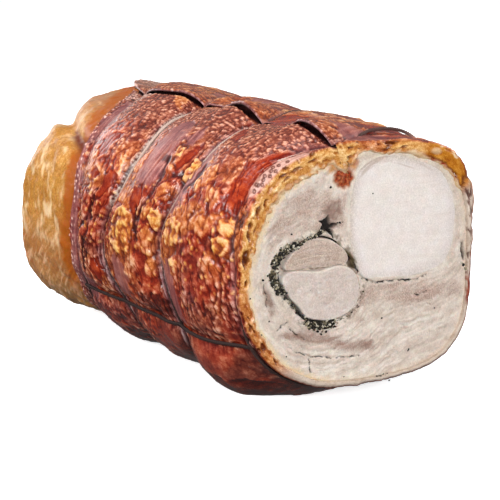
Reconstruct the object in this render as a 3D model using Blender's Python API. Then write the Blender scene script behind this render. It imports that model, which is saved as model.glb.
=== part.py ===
"""A roast porchetta: pork loin and fillet with a herb seam, rolled in rind-on belly, tied and cut.

The roll lies along X with its cut face at +X. Angles go round the roll in degrees, from +Y through
+Z: 90 is the top, 180 the side that faces -Y and 270 the underside. Every surface is a radius, from
the roll's axis, over the place along the roll and the angle. Units are metres.
"""

import math

import bmesh
import bpy
import numpy as np

# Driving sizes of the roll
HALF_LENGTH = 0.1425
HALF_WIDTH = 0.0784
HALF_HEIGHT = 0.068
AXIS_HEIGHT = 0.075
# How square the section is towards 45, 135, 225 and 315 degrees; 2 is an ellipse
SQUARENESS = (3.9, 2.75, 2.3, 3.6)

# The meat stands out beyond the cut face's outline, low on the -Y side and along the crown
GROWTH_LENGTH = 0.048
SIDE_GROWTH = (237, 30, 0.008)
CROWN_ANGLE = 85
CROWN_SPREAD = 30
CROWN_GROWTH = ((-0.1425, 0.0060), (-0.07, 0.0055), (-0.02, 0.004), (0.02, 0.003), (0.115, 0.0025),
                (0.1425, 0.0))
# Single lobes: place along X, angle, half length, spread in degrees and height
LOBES = ((0.088, 229, 0.044, 21, 0.0070), (-0.116, 212, 0.030, 12, 0.002))

# Where each twine loop runs, from the cut face back: angle round the roll and place along X
LOOP_ROUTES = {
    "face": ((30, 0.108), (68, 0.115), (88, 0.128), (104, 0.136), (121, 0.130), (132, 0.124),
             (146, 0.127), (166, 0.133), (200, 0.137), (240, 0.136), (300, 0.128)),
    "middle": ((30, 0.024), (68, 0.030), (85, 0.050), (97, 0.061), (110, 0.061), (123, 0.067),
               (140, 0.073), (154, 0.068), (174, 0.056), (196, 0.065), (212, 0.069), (235, 0.056),
               (300, 0.042)),
    "third": ((30, -0.052), (68, -0.045), (82, -0.026), (94, -0.013), (117, -0.003), (140, 0.010),
              (155, 0.007), (178, -0.011), (188, -0.013), (206, 0.001), (240, -0.006), (300, -0.028)),
    "far": ((30, -0.115), (68, -0.118), (85, -0.098), (102, -0.076), (116, -0.065), (130, -0.056),
            (148, -0.047), (165, -0.042), (184, -0.044), (200, -0.046), (222, -0.055),
            (300, -0.090)),
}

# The meat swells between the loops: angle and height of the swelling
SWELLING = ((0, 0.003), (60, 0.002), (110, 0.0035), (180, 0.0045), (230, 0.0025), (270, 0.0085),
            (315, 0.004))
SWELLING_FLATNESS = 2.6
SWELLING_STEEPNESS = 0.75
GROOVE_DEPTH = ((20, 0.002), (90, 0.002), (205, 0.002), (245, 0.0036), (290, 0.0032))
GROOVE_HALF_WIDTH = 0.0024
END_LIFT = 0.22

# The outer layer of rind ends on the crown of the roll and overlaps the layer below
OVERLAP_EDGE = ((-0.130, 88), (-0.034, 90), (0.050, 98), (0.1425, 104))
RIND_THICKNESS = 0.0028
RIND_THICKNESS_UNDER_TWINE = 0.0014
OVERLAP_TAIL = 200
EDGE_GAP = 0.0022
EDGE_GAP_UNDER_TWINE = 0.0004
EDGE_RISE = 0.002
EDGE_RISE_SPREAD = 18
# The pocket under the edge, in degrees: where it starts in front, how deep it goes and its lip
POCKET_FRONT = 5
POCKET_DEPTH = 5.5
POCKET_END = 2
LIP_SLANT = 0.6

# The lengthwise twine pulls a crease into the lower side
CREASE_ANGLE = 208
CREASE_DEPTH = 0.004
CREASE_SPREAD = 5

# Beyond the far loop the rind stops and the bare end of the roll bulges out. The outer layer of rind
# reaches further along the crown, as a tongue.
RIND_END = ((20, -0.126), (62, -0.134), (86, -0.131), (97, -0.101), (106, -0.087), (115, -0.078),
            (128, -0.068), (142, -0.059), (156, -0.055), (168, -0.053), (180, -0.056), (196, -0.058),
            (210, -0.061), (226, -0.070), (300, -0.104))
RIND_STEP = 0.0015
BARE_INSET = 0.003
BARE_INSET_LENGTH = 0.014
BARE_FOLDS = ((140, 0.006), (252, 0.003), (18, 0.004))
BARE_FOLD_SPREAD = 5
DOME_START = ((0, -0.112), (60, -0.104), (95, -0.098), (125, -0.100), (150, -0.114), (180, -0.121),
              (215, -0.130), (250, -0.124), (300, -0.115))
DOME_ROUNDNESS = 2.3

# Cut face
LOIN_CENTRE = (0.0289, 0.0255)
LOIN_HALF_SIZE = (0.0365, 0.0352)
LOIN_SQUARENESS = 2.7
LOIN_BACK = -0.088
HEART_CENTRE = (-0.0257, -0.005)
HEART_HALF_SIZE = (0.0264, 0.0212)
HEART_TURN = -40
HEART_BACK = -0.095
FOLD_SPLIT_HEIGHT = 0.0062
FOLD_SPLIT_ARCH = 0.0018
LEAST_RISE = 0.01
SPLIT_PASSES = 8
HERB_START = 66
HERB_END = 294
HERB_THICKNESS = ((66, 0.0030), (80, 0.0062), (96, 0.0020), (118, 0.0022), (140, 0.0046),
                  (165, 0.0040), (185, 0.0036), (205, 0.0016), (240, 0.0016), (262, 0.0030),
                  (280, 0.0046), (294, 0.0012))
FACE_SET_BACK = {"belly": 0.0006, "loin": 0.0, "fillet": 0.0004, "inner_fold": 0.0012,
                 "herb_filling": 0.0028}
FIT_GAP = 0.00036

# Twine
TWINE_RADIUS = 0.0011
TWINE_CLEARANCE = 0.0010
TWINE_ABOVE_FLOOR = 0.0002
TWINE_REACH = 5
TWINE_POINTS = 64
TWINE_BEVEL = 1
LENGTHWISE_POINTS = 40
LENGTHWISE_SLACK = 0.0012

# How finely the solids are cut into faces
AROUND = 48
BAND_STEPS = (0.0, 0.12, 0.26, 0.42, 0.58, 0.74, 0.88, 1.0)
END_STEPS = (0.0, 0.35, 0.7, 1.0)
DOME_STEPS = 10
DOME_CROWDING = 1.8
FIRST_TURN = 2
LAST_TURN = 352
BARE_LIP_TURNS = (355, 356.4, 357, 357.6, 358.8, 359.4, 360)
HEART_STEP = 7.5
PAST_FACE = 0.01
WELD = 0.00001
SHARP_EDGE = 50

RIND = ("roast rind", (0.40, 0.13, 0.06), 0.35)
LOIN = ("roast loin", (0.86, 0.80, 0.76), 0.55)
FILLET = ("roast fillet", (0.80, 0.70, 0.65), 0.55)
FOLD = ("roast lean", (0.74, 0.62, 0.56), 0.55)
HERBS = ("herb filling", (0.10, 0.09, 0.05), 0.8)
TWINE = ("butcher's twine", (0.45, 0.40, 0.38), 0.9)


def clear_scene():
    for thing in list(bpy.data.objects):
        bpy.data.objects.remove(thing, do_unlink=True)


def collection(name):
    made = bpy.data.collections.new(name)
    bpy.context.scene.collection.children.link(made)
    return made


def through(knots, at, period=None):
    """A smooth curve through (place, value) knots, read at many places."""
    places = np.array([k[0] for k in knots], float)
    values = np.array([k[1] for k in knots], float)
    order = np.argsort(places)
    places, values = places[order], values[order]
    at = np.asarray(at, float)
    if period:
        at = places[0] + (at - places[0]) % period
        places = np.concatenate([places[-2:] - period, places, places[:3] + period])
        values = np.concatenate([values[-2:], values, values[:3]])
    slope = np.gradient(values, places)
    at = np.clip(at, places[0], places[-1])
    i = np.clip(np.searchsorted(places, at, side="right") - 1, 0, len(places) - 2)
    step = places[i + 1] - places[i]
    t = (at - places[i]) / step
    rise = t * t * (3 - 2 * t)
    ease_in = t * (1 - t) ** 2
    ease_out = t * t * (t - 1)
    eased = slope[i] * ease_in + slope[i + 1] * ease_out
    return values[i] + (values[i + 1] - values[i]) * rise + step * eased


def angle_between(a, b):
    """The signed turn from b to a, in degrees."""
    return (np.asarray(a, float) - b + 180) % 360 - 180


def section_radius(angle):
    """The roll's plain section at the cut face: an ellipse made squarer towards its corners."""
    near = [np.clip(np.cos(np.radians(angle - corner)), 0, None) ** 2 for corner in (45, 135, 225, 315)]
    power = sum(weight * square for weight, square in zip(near, SQUARENESS)) / sum(near)
    across = np.abs(np.cos(np.radians(angle)) / HALF_WIDTH)
    up = np.abs(np.sin(np.radians(angle)) / HALF_HEIGHT)
    return (across**power + up**power) ** (-1 / power)


def bell(angle, place, spread):
    return np.exp(-((angle_between(angle, place) / spread) ** 2))


def outline_radius(x, angle):
    """The roll without the pull of the twine."""
    run = np.clip((HALF_LENGTH - x) / GROWTH_LENGTH, 0, 1)
    side_angle, side_spread, side_height = SIDE_GROWTH
    radius = section_radius(angle)
    radius = radius + side_height * run * run * (3 - 2 * run) * bell(angle, side_angle, side_spread)
    radius = radius + through(CROWN_GROWTH, x) * bell(angle, CROWN_ANGLE, CROWN_SPREAD)
    return radius


def lobes(x, angle):
    total = 0.0
    for place, side, half_length, spread, height in LOBES:
        along = np.clip(1 - ((x - place) / half_length) ** 2, 0, 1)
        total = total + height * along * bell(angle, side, spread)
    return total


def loop_place(name, angle):
    return through(LOOP_ROUTES[name], angle, 360)


def swell(share):
    """0 at the loops and 1 half way between them."""
    return (1 - np.abs(2 * share - 1) ** SWELLING_FLATNESS) ** SWELLING_STEEPNESS


def under_layer(x, angle, lift):
    """The surface of the rind below the overlap; lift is 0 in a groove and 1 half way along a swelling."""
    radius = outline_radius(x, angle) + (through(SWELLING, angle, 360) + lobes(x, angle)) * lift
    radius = radius - through(GROOVE_DEPTH, angle, 360) * (1 - lift)
    near_edge = bell(angle, overlap_edge(x), EDGE_RISE_SPREAD)
    crease = bell(angle, CREASE_ANGLE, CREASE_SPREAD)
    return radius + EDGE_RISE * lift * near_edge - CREASE_DEPTH * lift * crease


def overlap_edge(x):
    return through(OVERLAP_EDGE, x)


def outer_rind(x, angle, lift):
    """The top of the outer layer, which thins out until it is level with the layer below."""
    back = (overlap_edge(x) - angle) % 360
    thin = np.clip(1 - back / OVERLAP_TAIL, 0, 1)
    thick = RIND_THICKNESS_UNDER_TWINE + (RIND_THICKNESS - RIND_THICKNESS_UNDER_TWINE) * lift
    gap = EDGE_GAP_UNDER_TWINE + (EDGE_GAP - EDGE_GAP_UNDER_TWINE) * lift
    near_edge = bell(back, 0, EDGE_RISE_SPREAD)
    return under_layer(x, angle, lift) + thick * thin + gap * near_edge


def section(x_of, lift):
    """One ring of (x, y, z) points: round the roll from the overlap's edge, then back under the edge."""
    edge = overlap_edge(x_of(overlap_edge(0.0)))
    angles = (edge - FIRST_TURN - np.linspace(0, LAST_TURN, AROUND)[:-1]) % 360
    ring = [(x_of(angle), angle, outer_rind(x_of(angle), angle, lift)) for angle in angles]
    x = x_of(edge)
    top = outer_rind(x, edge, lift)
    floor = under_layer(x, edge, lift)
    roof = floor + EDGE_GAP_UNDER_TWINE + (EDGE_GAP - EDGE_GAP_UNDER_TWINE) * lift
    front = edge + POCKET_FRONT
    inner = edge - POCKET_DEPTH
    near_inner = inner + POCKET_END
    floor_inside = under_layer(x_of(near_inner), near_inner, lift)
    roof_inside = roof - floor + under_layer(x, near_inner, lift)
    lip = [
        (x_of(front), front, under_layer(x_of(front), front, lift)),
        (x, edge, floor),
        (x_of(near_inner), near_inner, floor_inside),
        (x_of(inner), inner, 0.5 * (floor + roof)),
        (x_of(near_inner), near_inner, roof_inside),
        (x, edge - LIP_SLANT, roof),
        (x, edge, 0.5 * (roof + top)),
    ]
    return to_points(ring + lip)


def to_points(ring):
    x, angle, radius = (np.array(column, float) for column in zip(*ring))
    y = radius * np.cos(np.radians(angle))
    z = AXIS_HEIGHT + radius * np.sin(np.radians(angle))
    return np.stack([x, y, np.clip(z, 0, None)], axis=1)


def band_sections(near, far, steps, lift_at):
    """Sections from one line round the roll to the next; lift_at gives the swelling's share there."""
    rings = []
    for share in steps:
        def x_of(angle, share=share):
            return near(angle) + (far(angle) - near(angle)) * share

        rings.append(section(x_of, float(lift_at(share))))
    return rings


def groove_side(name, offset):
    def place(angle):
        return loop_place(name, angle) + offset

    return place


def rind_end(angle):
    return through(RIND_END, angle, 360)


def bare_radius(x, angle):
    """The bare far end: it comes out from under the rind, folds run into it and it closes as a dome."""
    radius = outline_radius(x, angle) + lobes(x, angle)
    radius = radius - BARE_INSET * np.exp((x - rind_end(angle)) / BARE_INSET_LENGTH)
    for place, depth in BARE_FOLDS:
        radius = radius - depth * bell(angle, place, BARE_FOLD_SPREAD)
    start = through(DOME_START, angle, 360)
    reach = np.clip((start - x) / (start + HALF_LENGTH), 0, 1)
    return radius * (1 - reach**DOME_ROUNDNESS) ** (1 / DOME_ROUNDNESS)


def bare_sections():
    """The rings start with the rind's points, close together under the overlap, and then even out."""
    edge = overlap_edge(-HALF_LENGTH)
    crowded = list(FIRST_TURN + np.linspace(0, LAST_TURN, AROUND)[:-1]) + list(BARE_LIP_TURNS)
    rings = []
    for step in range(DOME_STEPS):
        share = 1 - (1 - step / DOME_STEPS) ** DOME_CROWDING
        ring = []
        for i, turn in enumerate(crowded):
            even = FIRST_TURN + 360 * i / len(crowded)
            angle = (edge - turn - (even - turn) * share) % 360
            start = rind_end(angle) - RIND_STEP
            x = start + (-HALF_LENGTH - start) * share
            ring.append((x, angle, bare_radius(x, angle)))
        rings.append(to_points(ring))
    return rings


def face_plane(angle):
    return HALF_LENGTH - FACE_SET_BACK["belly"] + 0.0 * angle


def rising(share):
    return END_LIFT * share


def falling(share):
    return END_LIFT * (1 - share)


def belly_sections():
    names = list(LOOP_ROUTES)
    rings = band_sections(face_plane, groove_side(names[0], GROOVE_HALF_WIDTH), END_STEPS, falling)
    for name, following in zip(names, names[1:]):
        near = groove_side(name, -GROOVE_HALF_WIDTH)
        rings += band_sections(near, groove_side(following, GROOVE_HALF_WIDTH), BAND_STEPS, swell)
    near = groove_side(names[-1], -GROOVE_HALF_WIDTH)
    return rings + band_sections(near, rind_end, END_STEPS, rising) + bare_sections()


def mesh_object(name, made, group, finish):
    mesh = bpy.data.meshes.new(name)
    made.to_mesh(mesh)
    made.free()
    thing = bpy.data.objects.new(name, mesh)
    group.objects.link(thing)
    if finish:
        mesh.materials.append(material(*finish))
    mesh.shade_smooth()
    mesh.set_sharp_from_angle(angle=math.radians(SHARP_EDGE))
    return thing


def material(name, colour, roughness):
    made = bpy.data.materials.get(name) or bpy.data.materials.new(name)
    made.use_nodes = True
    shader = made.node_tree.nodes["Principled BSDF"]
    shader.inputs["Base Color"].default_value = (*colour, 1.0)
    shader.inputs["Roughness"].default_value = roughness
    shader.inputs["Metallic"].default_value = 0.0
    return made


def loft(rings, tip=None):
    """A closed body through rings of points, shut with a flat face at the first, and at the last with
    a flat face or a tip."""
    made = bmesh.new()
    grid = [[made.verts.new(point) for point in ring] for ring in rings]
    for a, b in zip(grid, grid[1:]):
        for i in range(len(a)):
            j = (i + 1) % len(a)
            made.faces.new((a[i], a[j], b[j], b[i]))
    made.faces.new(tuple(reversed(grid[0])))
    last = grid[-1]
    if tip is None:
        made.faces.new(tuple(last))
    else:
        top = made.verts.new(tip)
        for i in range(len(last)):
            made.faces.new((last[i], last[(i + 1) % len(last)], top))
    bmesh.ops.recalc_face_normals(made, faces=made.faces)
    return made


def prism(outline, near, far):
    """A closed body of one outline, drawn in Y and Z from the axis at the cut face, run along X."""
    return loft([[(x, y, AXIS_HEIGHT + z) for y, z in outline] for x in (near, far)])


def loin_outline(grow=0.0):
    outline = []
    for angle in np.arange(0, 360, HEART_STEP):
        across = math.cos(math.radians(angle))
        up = math.sin(math.radians(angle))
        power = LOIN_SQUARENESS
        half_width, half_height = LOIN_HALF_SIZE
        radius = grow + (abs(across / half_width) ** power + abs(up / half_height) ** power) ** (-1 / power)
        outline.append((LOIN_CENTRE[0] + radius * across, LOIN_CENTRE[1] + radius * up))
    return outline


def heart_radius(angle):
    """The fillet and the fold over it, together: a turned ellipse about HEART_CENTRE."""
    a, b = HEART_HALF_SIZE
    turned = math.radians(angle - HEART_TURN)
    return 1 / math.hypot(math.cos(turned) / a, math.sin(turned) / b)


def split_radius(angle, lift):
    """Where the arched line between fillet and fold lies in this direction, or far off below it."""
    rise = math.sin(math.radians(angle))
    if rise < LEAST_RISE:
        return 1.0
    across = 0.0
    for _ in range(SPLIT_PASSES):
        arch = FOLD_SPLIT_ARCH * (1 - (across / HEART_HALF_SIZE[0]) ** 2)
        radius = (FOLD_SPLIT_HEIGHT + arch + lift) / rise
        across = np.clip(radius * math.cos(math.radians(angle)), -HEART_HALF_SIZE[0], HEART_HALF_SIZE[0])
    return radius


def heart_point(angle, radius):
    turn = math.radians(angle)
    return (HEART_CENTRE[0] + radius * math.cos(turn), HEART_CENTRE[1] + radius * math.sin(turn))


def fillet_outline():
    angles = np.arange(0, 360, HEART_STEP)
    return [heart_point(a, min(heart_radius(a), split_radius(a, 0.0))) for a in angles]


def fold_outline():
    upper = np.arange(0, 180.1, HEART_STEP)
    angles = [a for a in upper if split_radius(a, FIT_GAP) < heart_radius(a) - FIT_GAP]
    over = [heart_point(a, heart_radius(a)) for a in angles]
    under = [heart_point(a, split_radius(a, FIT_GAP)) for a in reversed(angles)]
    return over + under


def herb_thickness(angle):
    return float(through(HERB_THICKNESS, angle))


def herb_outline():
    angles = np.arange(HERB_START, HERB_END + 0.1, HEART_STEP / 2)
    inner = [heart_point(a, heart_radius(a) + FIT_GAP) for a in angles]
    outer = [heart_point(a, heart_radius(a) + FIT_GAP + herb_thickness(a)) for a in reversed(angles)]
    return inner + outer


def heart_channel_outline():
    outline = []
    for angle in np.arange(0, 360, HEART_STEP / 2):
        radius = heart_radius(angle) + FIT_GAP
        if HERB_START - HEART_STEP / 2 < angle < HERB_END + HEART_STEP / 2:
            radius += herb_thickness(angle) + FIT_GAP
        outline.append(heart_point(angle, radius))
    return outline


def cut_away(body, cutter):
    cutter.hide_render = True
    cutter.display_type = "WIRE"
    cut = body.modifiers.new(cutter.name, "BOOLEAN")
    cut.operation = "DIFFERENCE"
    cut.solver = "EXACT"
    cut.object = cutter


def make_belly(parts, cutters):
    rings = belly_sections()
    tip = (-HALF_LENGTH, 0.0, AXIS_HEIGHT)
    belly = mesh_object("belly", loft(rings, tip), parts, RIND)
    for name, outline, back in (
        ("loin_channel", loin_outline(FIT_GAP), LOIN_BACK),
        ("heart_channel", heart_channel_outline(), HEART_BACK),
    ):
        channel = prism(outline, HALF_LENGTH + PAST_FACE, back - FIT_GAP)
        cut_away(belly, mesh_object(name, channel, cutters, None))


def make_inner_pieces(parts):
    for name, outline, back, finish in (
        ("loin", loin_outline(), LOIN_BACK, LOIN),
        ("fillet", fillet_outline(), HEART_BACK, FILLET),
        ("inner_fold", fold_outline(), HEART_BACK, FOLD),
        ("herb_filling", herb_outline(), HEART_BACK, HERBS),
    ):
        mesh_object(name, prism(outline, HALF_LENGTH - FACE_SET_BACK[name], back), parts, finish)


def groove_floor(name, angle):
    """The highest rind within a twine's reach of this place in a groove."""
    nearby = np.arange(angle - TWINE_REACH, angle + TWINE_REACH + 1) % 360
    return max(float(top_of_rind(loop_place(name, side), side)) for side in nearby)


def top_of_rind(x, angle):
    """The top of the rind in a groove, on the outer layer or, in front of its edge, on the one below."""
    in_front = (angle - overlap_edge(x)) % 360 < POCKET_FRONT
    return under_layer(x, angle, 0.0) if in_front else outer_rind(x, angle, 0.0)


def twine_line(name, points, cyclic, group):
    """A twine along a run of points, as a mesh with its end caps welded."""
    curve = bpy.data.curves.new(name, "CURVE")
    curve.dimensions = "3D"
    curve.bevel_depth = TWINE_RADIUS
    curve.bevel_resolution = TWINE_BEVEL
    curve.use_fill_caps = True
    line = curve.splines.new("POLY")
    line.points.add(len(points) - 1)
    for spot, point in zip(line.points, points):
        spot.co = (*point, 1.0)
    line.use_cyclic_u = cyclic
    guide = bpy.data.objects.new(name, curve)
    group.objects.link(guide)
    bpy.context.view_layer.update()
    graph = bpy.context.evaluated_depsgraph_get()
    mesh = bpy.data.meshes.new_from_object(guide.evaluated_get(graph))
    bpy.data.objects.remove(guide, do_unlink=True)
    made = bmesh.new()
    made.from_mesh(mesh)
    bmesh.ops.remove_doubles(made, verts=made.verts, dist=WELD)
    bmesh.ops.recalc_face_normals(made, faces=made.faces)
    return made


def loop_points(name):
    points = []
    for angle in np.arange(0, 360, 360 / TWINE_POINTS):
        x = float(loop_place(name, angle))
        radius = groove_floor(name, angle) + TWINE_RADIUS + TWINE_CLEARANCE
        y = radius * math.cos(math.radians(angle))
        z = AXIS_HEIGHT + radius * math.sin(math.radians(angle))
        points.append((x, y, max(z, TWINE_RADIUS + TWINE_ABOVE_FLOOR)))
    return points


def lengthwise_points():
    """Along the crease from the face loop to the far loop, level with each loop where it crosses."""
    names = ("face", "middle", "third", "far")
    crossings = [float(loop_place(name, CREASE_ANGLE)) for name in names]
    points = []
    for x in np.linspace(crossings[0], crossings[-1], LENGTHWISE_POINTS):
        lift = 0.0
        for near, far in zip(crossings, crossings[1:]):
            if far <= x <= near:
                lift = float(swell(np.clip((near - x) / (near - far), 0, 1)))
        radius = float(under_layer(x, CREASE_ANGLE, lift))
        radius += TWINE_RADIUS + TWINE_CLEARANCE + LENGTHWISE_SLACK * lift
        y = radius * math.cos(math.radians(CREASE_ANGLE))
        z = AXIS_HEIGHT + radius * math.sin(math.radians(CREASE_ANGLE))
        points.append((x, y, z))
    return points


def make_twine(parts, cutters):
    twine = mesh_object("twine", twine_line("run", lengthwise_points(), False, cutters), parts, TWINE)
    for name in LOOP_ROUTES:
        loop = mesh_object(name + "_loop", twine_line(name, loop_points(name), True, cutters), cutters, None)
        loop.hide_render = True
        loop.display_type = "WIRE"
        join = twine.modifiers.new(name, "BOOLEAN")
        join.operation = "UNION"
        join.solver = "EXACT"
        join.object = loop


def main():
    clear_scene()
    parts = collection("porchetta")
    cutters = collection("cutters")
    make_belly(parts, cutters)
    make_inner_pieces(parts)
    make_twine(parts, cutters)


main()
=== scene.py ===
import itertools
import math

import bpy
import numpy as np
from mathutils import Matrix, Vector


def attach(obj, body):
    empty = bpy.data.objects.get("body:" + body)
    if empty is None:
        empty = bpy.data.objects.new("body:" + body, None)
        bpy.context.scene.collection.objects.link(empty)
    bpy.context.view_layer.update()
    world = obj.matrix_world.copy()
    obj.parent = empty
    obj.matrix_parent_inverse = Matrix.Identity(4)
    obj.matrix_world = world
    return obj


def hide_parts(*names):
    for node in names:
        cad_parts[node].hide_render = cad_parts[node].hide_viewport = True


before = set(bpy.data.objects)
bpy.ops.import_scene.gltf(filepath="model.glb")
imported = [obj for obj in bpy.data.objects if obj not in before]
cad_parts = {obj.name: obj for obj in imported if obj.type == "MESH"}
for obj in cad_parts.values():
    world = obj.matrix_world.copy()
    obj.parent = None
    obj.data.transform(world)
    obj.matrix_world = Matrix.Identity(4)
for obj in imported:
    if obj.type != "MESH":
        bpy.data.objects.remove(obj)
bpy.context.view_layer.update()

# A roast porchetta: rind-on belly rolled round loin and fillet, tied with twine and cut through.
# The roll lies along X with its cut face at +X. Angles go round it in degrees, from +Y through +Z:
# 90 is the top and 180 the side that faces -Y. Places on the rind are (millimetres along X, angle),
# and places on the cut face are (millimetres along Y, millimetres above the roll's axis).
MM = 0.001

# ---------------------------------------------------------------- the roll's own surface, as cut in CAD
HALF_LENGTH = 0.1425
HALF_WIDTH = 0.0784
HALF_HEIGHT = 0.068
AXIS_HEIGHT = 0.075
SQUARENESS = (3.9, 2.75, 2.3, 3.6)
# Behind its cut face the roll grows stouter, low on its side (angle, spread, height) and at its crown
GROWTH_LENGTH = 0.048
SIDE_GROWTH = (237, 30, 0.008)
CROWN_ANGLE = 85
CROWN_SPREAD = 30
CROWN_GROWTH = ((-0.1425, 0.0060), (-0.07, 0.0055), (-0.02, 0.004), (0.02, 0.003), (0.115, 0.0025),
                (0.1425, 0.0))
# Lobes low on the side: place, angle, half length, spread, height
LOBES = ((0.088, 229, 0.044, 21, 0.0070), (-0.116, 212, 0.030, 12, 0.002))
# Where the loops of twine run: angle, place along the roll
LOOP_ROUTES = {
    "face": ((30, 0.108), (68, 0.115), (88, 0.128), (104, 0.136), (121, 0.130), (132, 0.124),
             (146, 0.127), (166, 0.133), (200, 0.137), (240, 0.136), (300, 0.128)),
    "middle": ((30, 0.024), (68, 0.030), (85, 0.050), (97, 0.061), (110, 0.061), (123, 0.067),
               (140, 0.073), (154, 0.068), (174, 0.056), (196, 0.065), (212, 0.069), (235, 0.056),
               (300, 0.042)),
    "third": ((30, -0.052), (68, -0.045), (82, -0.026), (94, -0.013), (117, -0.003), (140, 0.010),
              (155, 0.007), (178, -0.011), (188, -0.013), (206, 0.001), (240, -0.006), (300, -0.028)),
    "far": ((30, -0.115), (68, -0.118), (85, -0.098), (102, -0.076), (116, -0.065), (130, -0.056),
            (148, -0.047), (165, -0.042), (184, -0.044), (200, -0.046), (222, -0.055),
            (300, -0.090)),
}
# How far the rind swells between the loops and how deep they cut in: angle, metres
SWELLING = ((0, 0.003), (60, 0.002), (110, 0.0035), (180, 0.0045), (230, 0.0025), (270, 0.0085),
            (315, 0.004))
SWELLING_FLATNESS = 2.6
SWELLING_STEEPNESS = 0.75
GROOVE_DEPTH = ((20, 0.002), (90, 0.002), (205, 0.002), (245, 0.0036), (290, 0.0032))
END_LIFT = 0.22
# The belly's outer end lies along the top as an overlap: place, angle of its edge
OVERLAP_EDGE = ((-0.130, 88), (-0.112, 91), (-0.092, 97), (-0.070, 102), (-0.050, 101.5), (-0.030, 98.5),
                (-0.010, 96.5), (0.050, 100), (0.1425, 104))
# How far the overlap stands open along the roll, from pressed down to lifted
EDGE_OPEN = ((-0.130, 1.0), (-0.095, 0.8), (-0.065, 0.7), (-0.045, 0.8), (-0.025, 1.0), (-0.010, 1.0),
             (0.000, 0.1), (0.015, 0.1), (0.027, 1.0), (0.058, 1.0), (0.068, 0.05), (0.093, 0.05),
             (0.106, 1.0), (0.1425, 1.0))
RIND_THICKNESS = 0.0021
RIND_THICKNESS_UNDER_TWINE = 0.0014
OVERLAP_TAIL = 200
EDGE_GAP = 0.0028
EDGE_GAP_UNDER_TWINE = 0.0004
EDGE_RISE = 0.0008
EDGE_RISE_SPREAD = 18
POCKET_FRONT = 2.4
CREASE_ANGLE = 208
CREASE_DEPTH = 0.004
CREASE_SPREAD = 5
# Where the rind ends and where the bare end starts to close: angle, place
RIND_END = ((20, -0.122), (62, -0.127), (78, -0.127), (83, -0.1265), (87, -0.123), (90, -0.116),
            (93, -0.108), (97, -0.100), (106, -0.087), (115, -0.078), (128, -0.068), (142, -0.059),
            (156, -0.055), (168, -0.053), (180, -0.056), (196, -0.058), (210, -0.061), (226, -0.070),
            (300, -0.104))
CUT_INSET = 0.0016
BARE_INSET = 0.003
BARE_INSET_LENGTH = 0.014
# Folds of the bare end: angle, its change per metre, depth
BARE_FOLDS = ((134, 256, 0.006), (252, 0, 0.003), (18, 0, 0.004))
BARE_FOLD_FROM = -0.109
BARE_FOLD_SPREAD = 5
DOME_START = ((0, -0.112), (60, -0.106), (95, -0.112), (110, -0.112), (118, -0.108), (126, -0.098),
              (131, -0.098), (136, -0.107), (144, -0.106), (155, -0.114), (170, -0.122), (182, -0.125),
              (215, -0.130), (250, -0.124), (300, -0.115))
DOME_ROUNDNESS = 2.3
LOIN_BACK = -0.088
HEART_BACK = -0.095
TWINE_RADIUS = 0.0011
TWINE_REACH = 5


def through(knots, at, period=None):
    """A smooth curve through (place, value) knots, read at many places."""
    places = np.array([k[0] for k in knots], float)
    values = np.array([k[1] for k in knots], float)
    order = np.argsort(places)
    places, values = places[order], values[order]
    at = np.asarray(at, float)
    if period:
        at = places[0] + (at - places[0]) % period
        places = np.concatenate([places[-2:] - period, places, places[:3] + period])
        values = np.concatenate([values[-2:], values, values[:3]])
    slope = np.gradient(values, places)
    at = np.clip(at, places[0], places[-1])
    i = np.clip(np.searchsorted(places, at, side="right") - 1, 0, len(places) - 2)
    step = places[i + 1] - places[i]
    t = (at - places[i]) / step
    rise = t * t * (3 - 2 * t)
    eased = slope[i] * t * (1 - t) ** 2 + slope[i + 1] * t * t * (t - 1)
    return values[i] + (values[i + 1] - values[i]) * rise + step * eased


def angle_between(a, b):
    return (np.asarray(a, float) - b + 180) % 360 - 180


def cosine(angle):
    return np.cos(np.radians(angle))


def sine(angle):
    return np.sin(np.radians(angle))


def clamp(value):
    return np.clip(value, 0, 1)


def bell(angle, place, spread):
    return np.exp(-((angle_between(angle, place) / spread) ** 2))


def section_radius(angle):
    near = [np.clip(cosine(angle - corner), 0, None) ** 2 for corner in (45, 135, 225, 315)]
    power = sum(weight * square for weight, square in zip(near, SQUARENESS)) / sum(near)
    across = np.abs(cosine(angle) / HALF_WIDTH)
    up = np.abs(sine(angle) / HALF_HEIGHT)
    return (across**power + up**power) ** (-1 / power)


def outline_radius(x, angle):
    run = clamp((HALF_LENGTH - x) / GROWTH_LENGTH)
    side_angle, side_spread, side_height = SIDE_GROWTH
    radius = section_radius(angle)
    radius = radius + side_height * run * run * (3 - 2 * run) * bell(angle, side_angle, side_spread)
    return radius + through(CROWN_GROWTH, x) * bell(angle, CROWN_ANGLE, CROWN_SPREAD)


def lobes(x, angle):
    total = 0.0
    for place, side, half_length, spread, height in LOBES:
        along = clamp(1 - ((x - place) / half_length) ** 2)
        total = total + height * along * bell(angle, side, spread)
    return total


def loop_place(name, angle):
    return through(LOOP_ROUTES[name], angle, 360)


def swell(share):
    return (1 - np.abs(2 * share - 1) ** SWELLING_FLATNESS) ** SWELLING_STEEPNESS


def overlap_edge(x):
    return through(OVERLAP_EDGE, x)


def under_layer(x, angle, lift):
    radius = outline_radius(x, angle) + (through(SWELLING, angle, 360) + lobes(x, angle)) * lift
    radius = radius - through(GROOVE_DEPTH, angle, 360) * (1 - lift)
    near_edge = bell(angle, overlap_edge(x), EDGE_RISE_SPREAD)
    crease = bell(angle, CREASE_ANGLE, CREASE_SPREAD)
    return radius + EDGE_RISE * lift * through(EDGE_OPEN, x) * near_edge - CREASE_DEPTH * lift * crease


def edge_thickness(x, lift):
    thick = RIND_THICKNESS_UNDER_TWINE + (RIND_THICKNESS - RIND_THICKNESS_UNDER_TWINE) * lift
    return thick * (0.4 + 0.6 * through(EDGE_OPEN, x))


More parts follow.
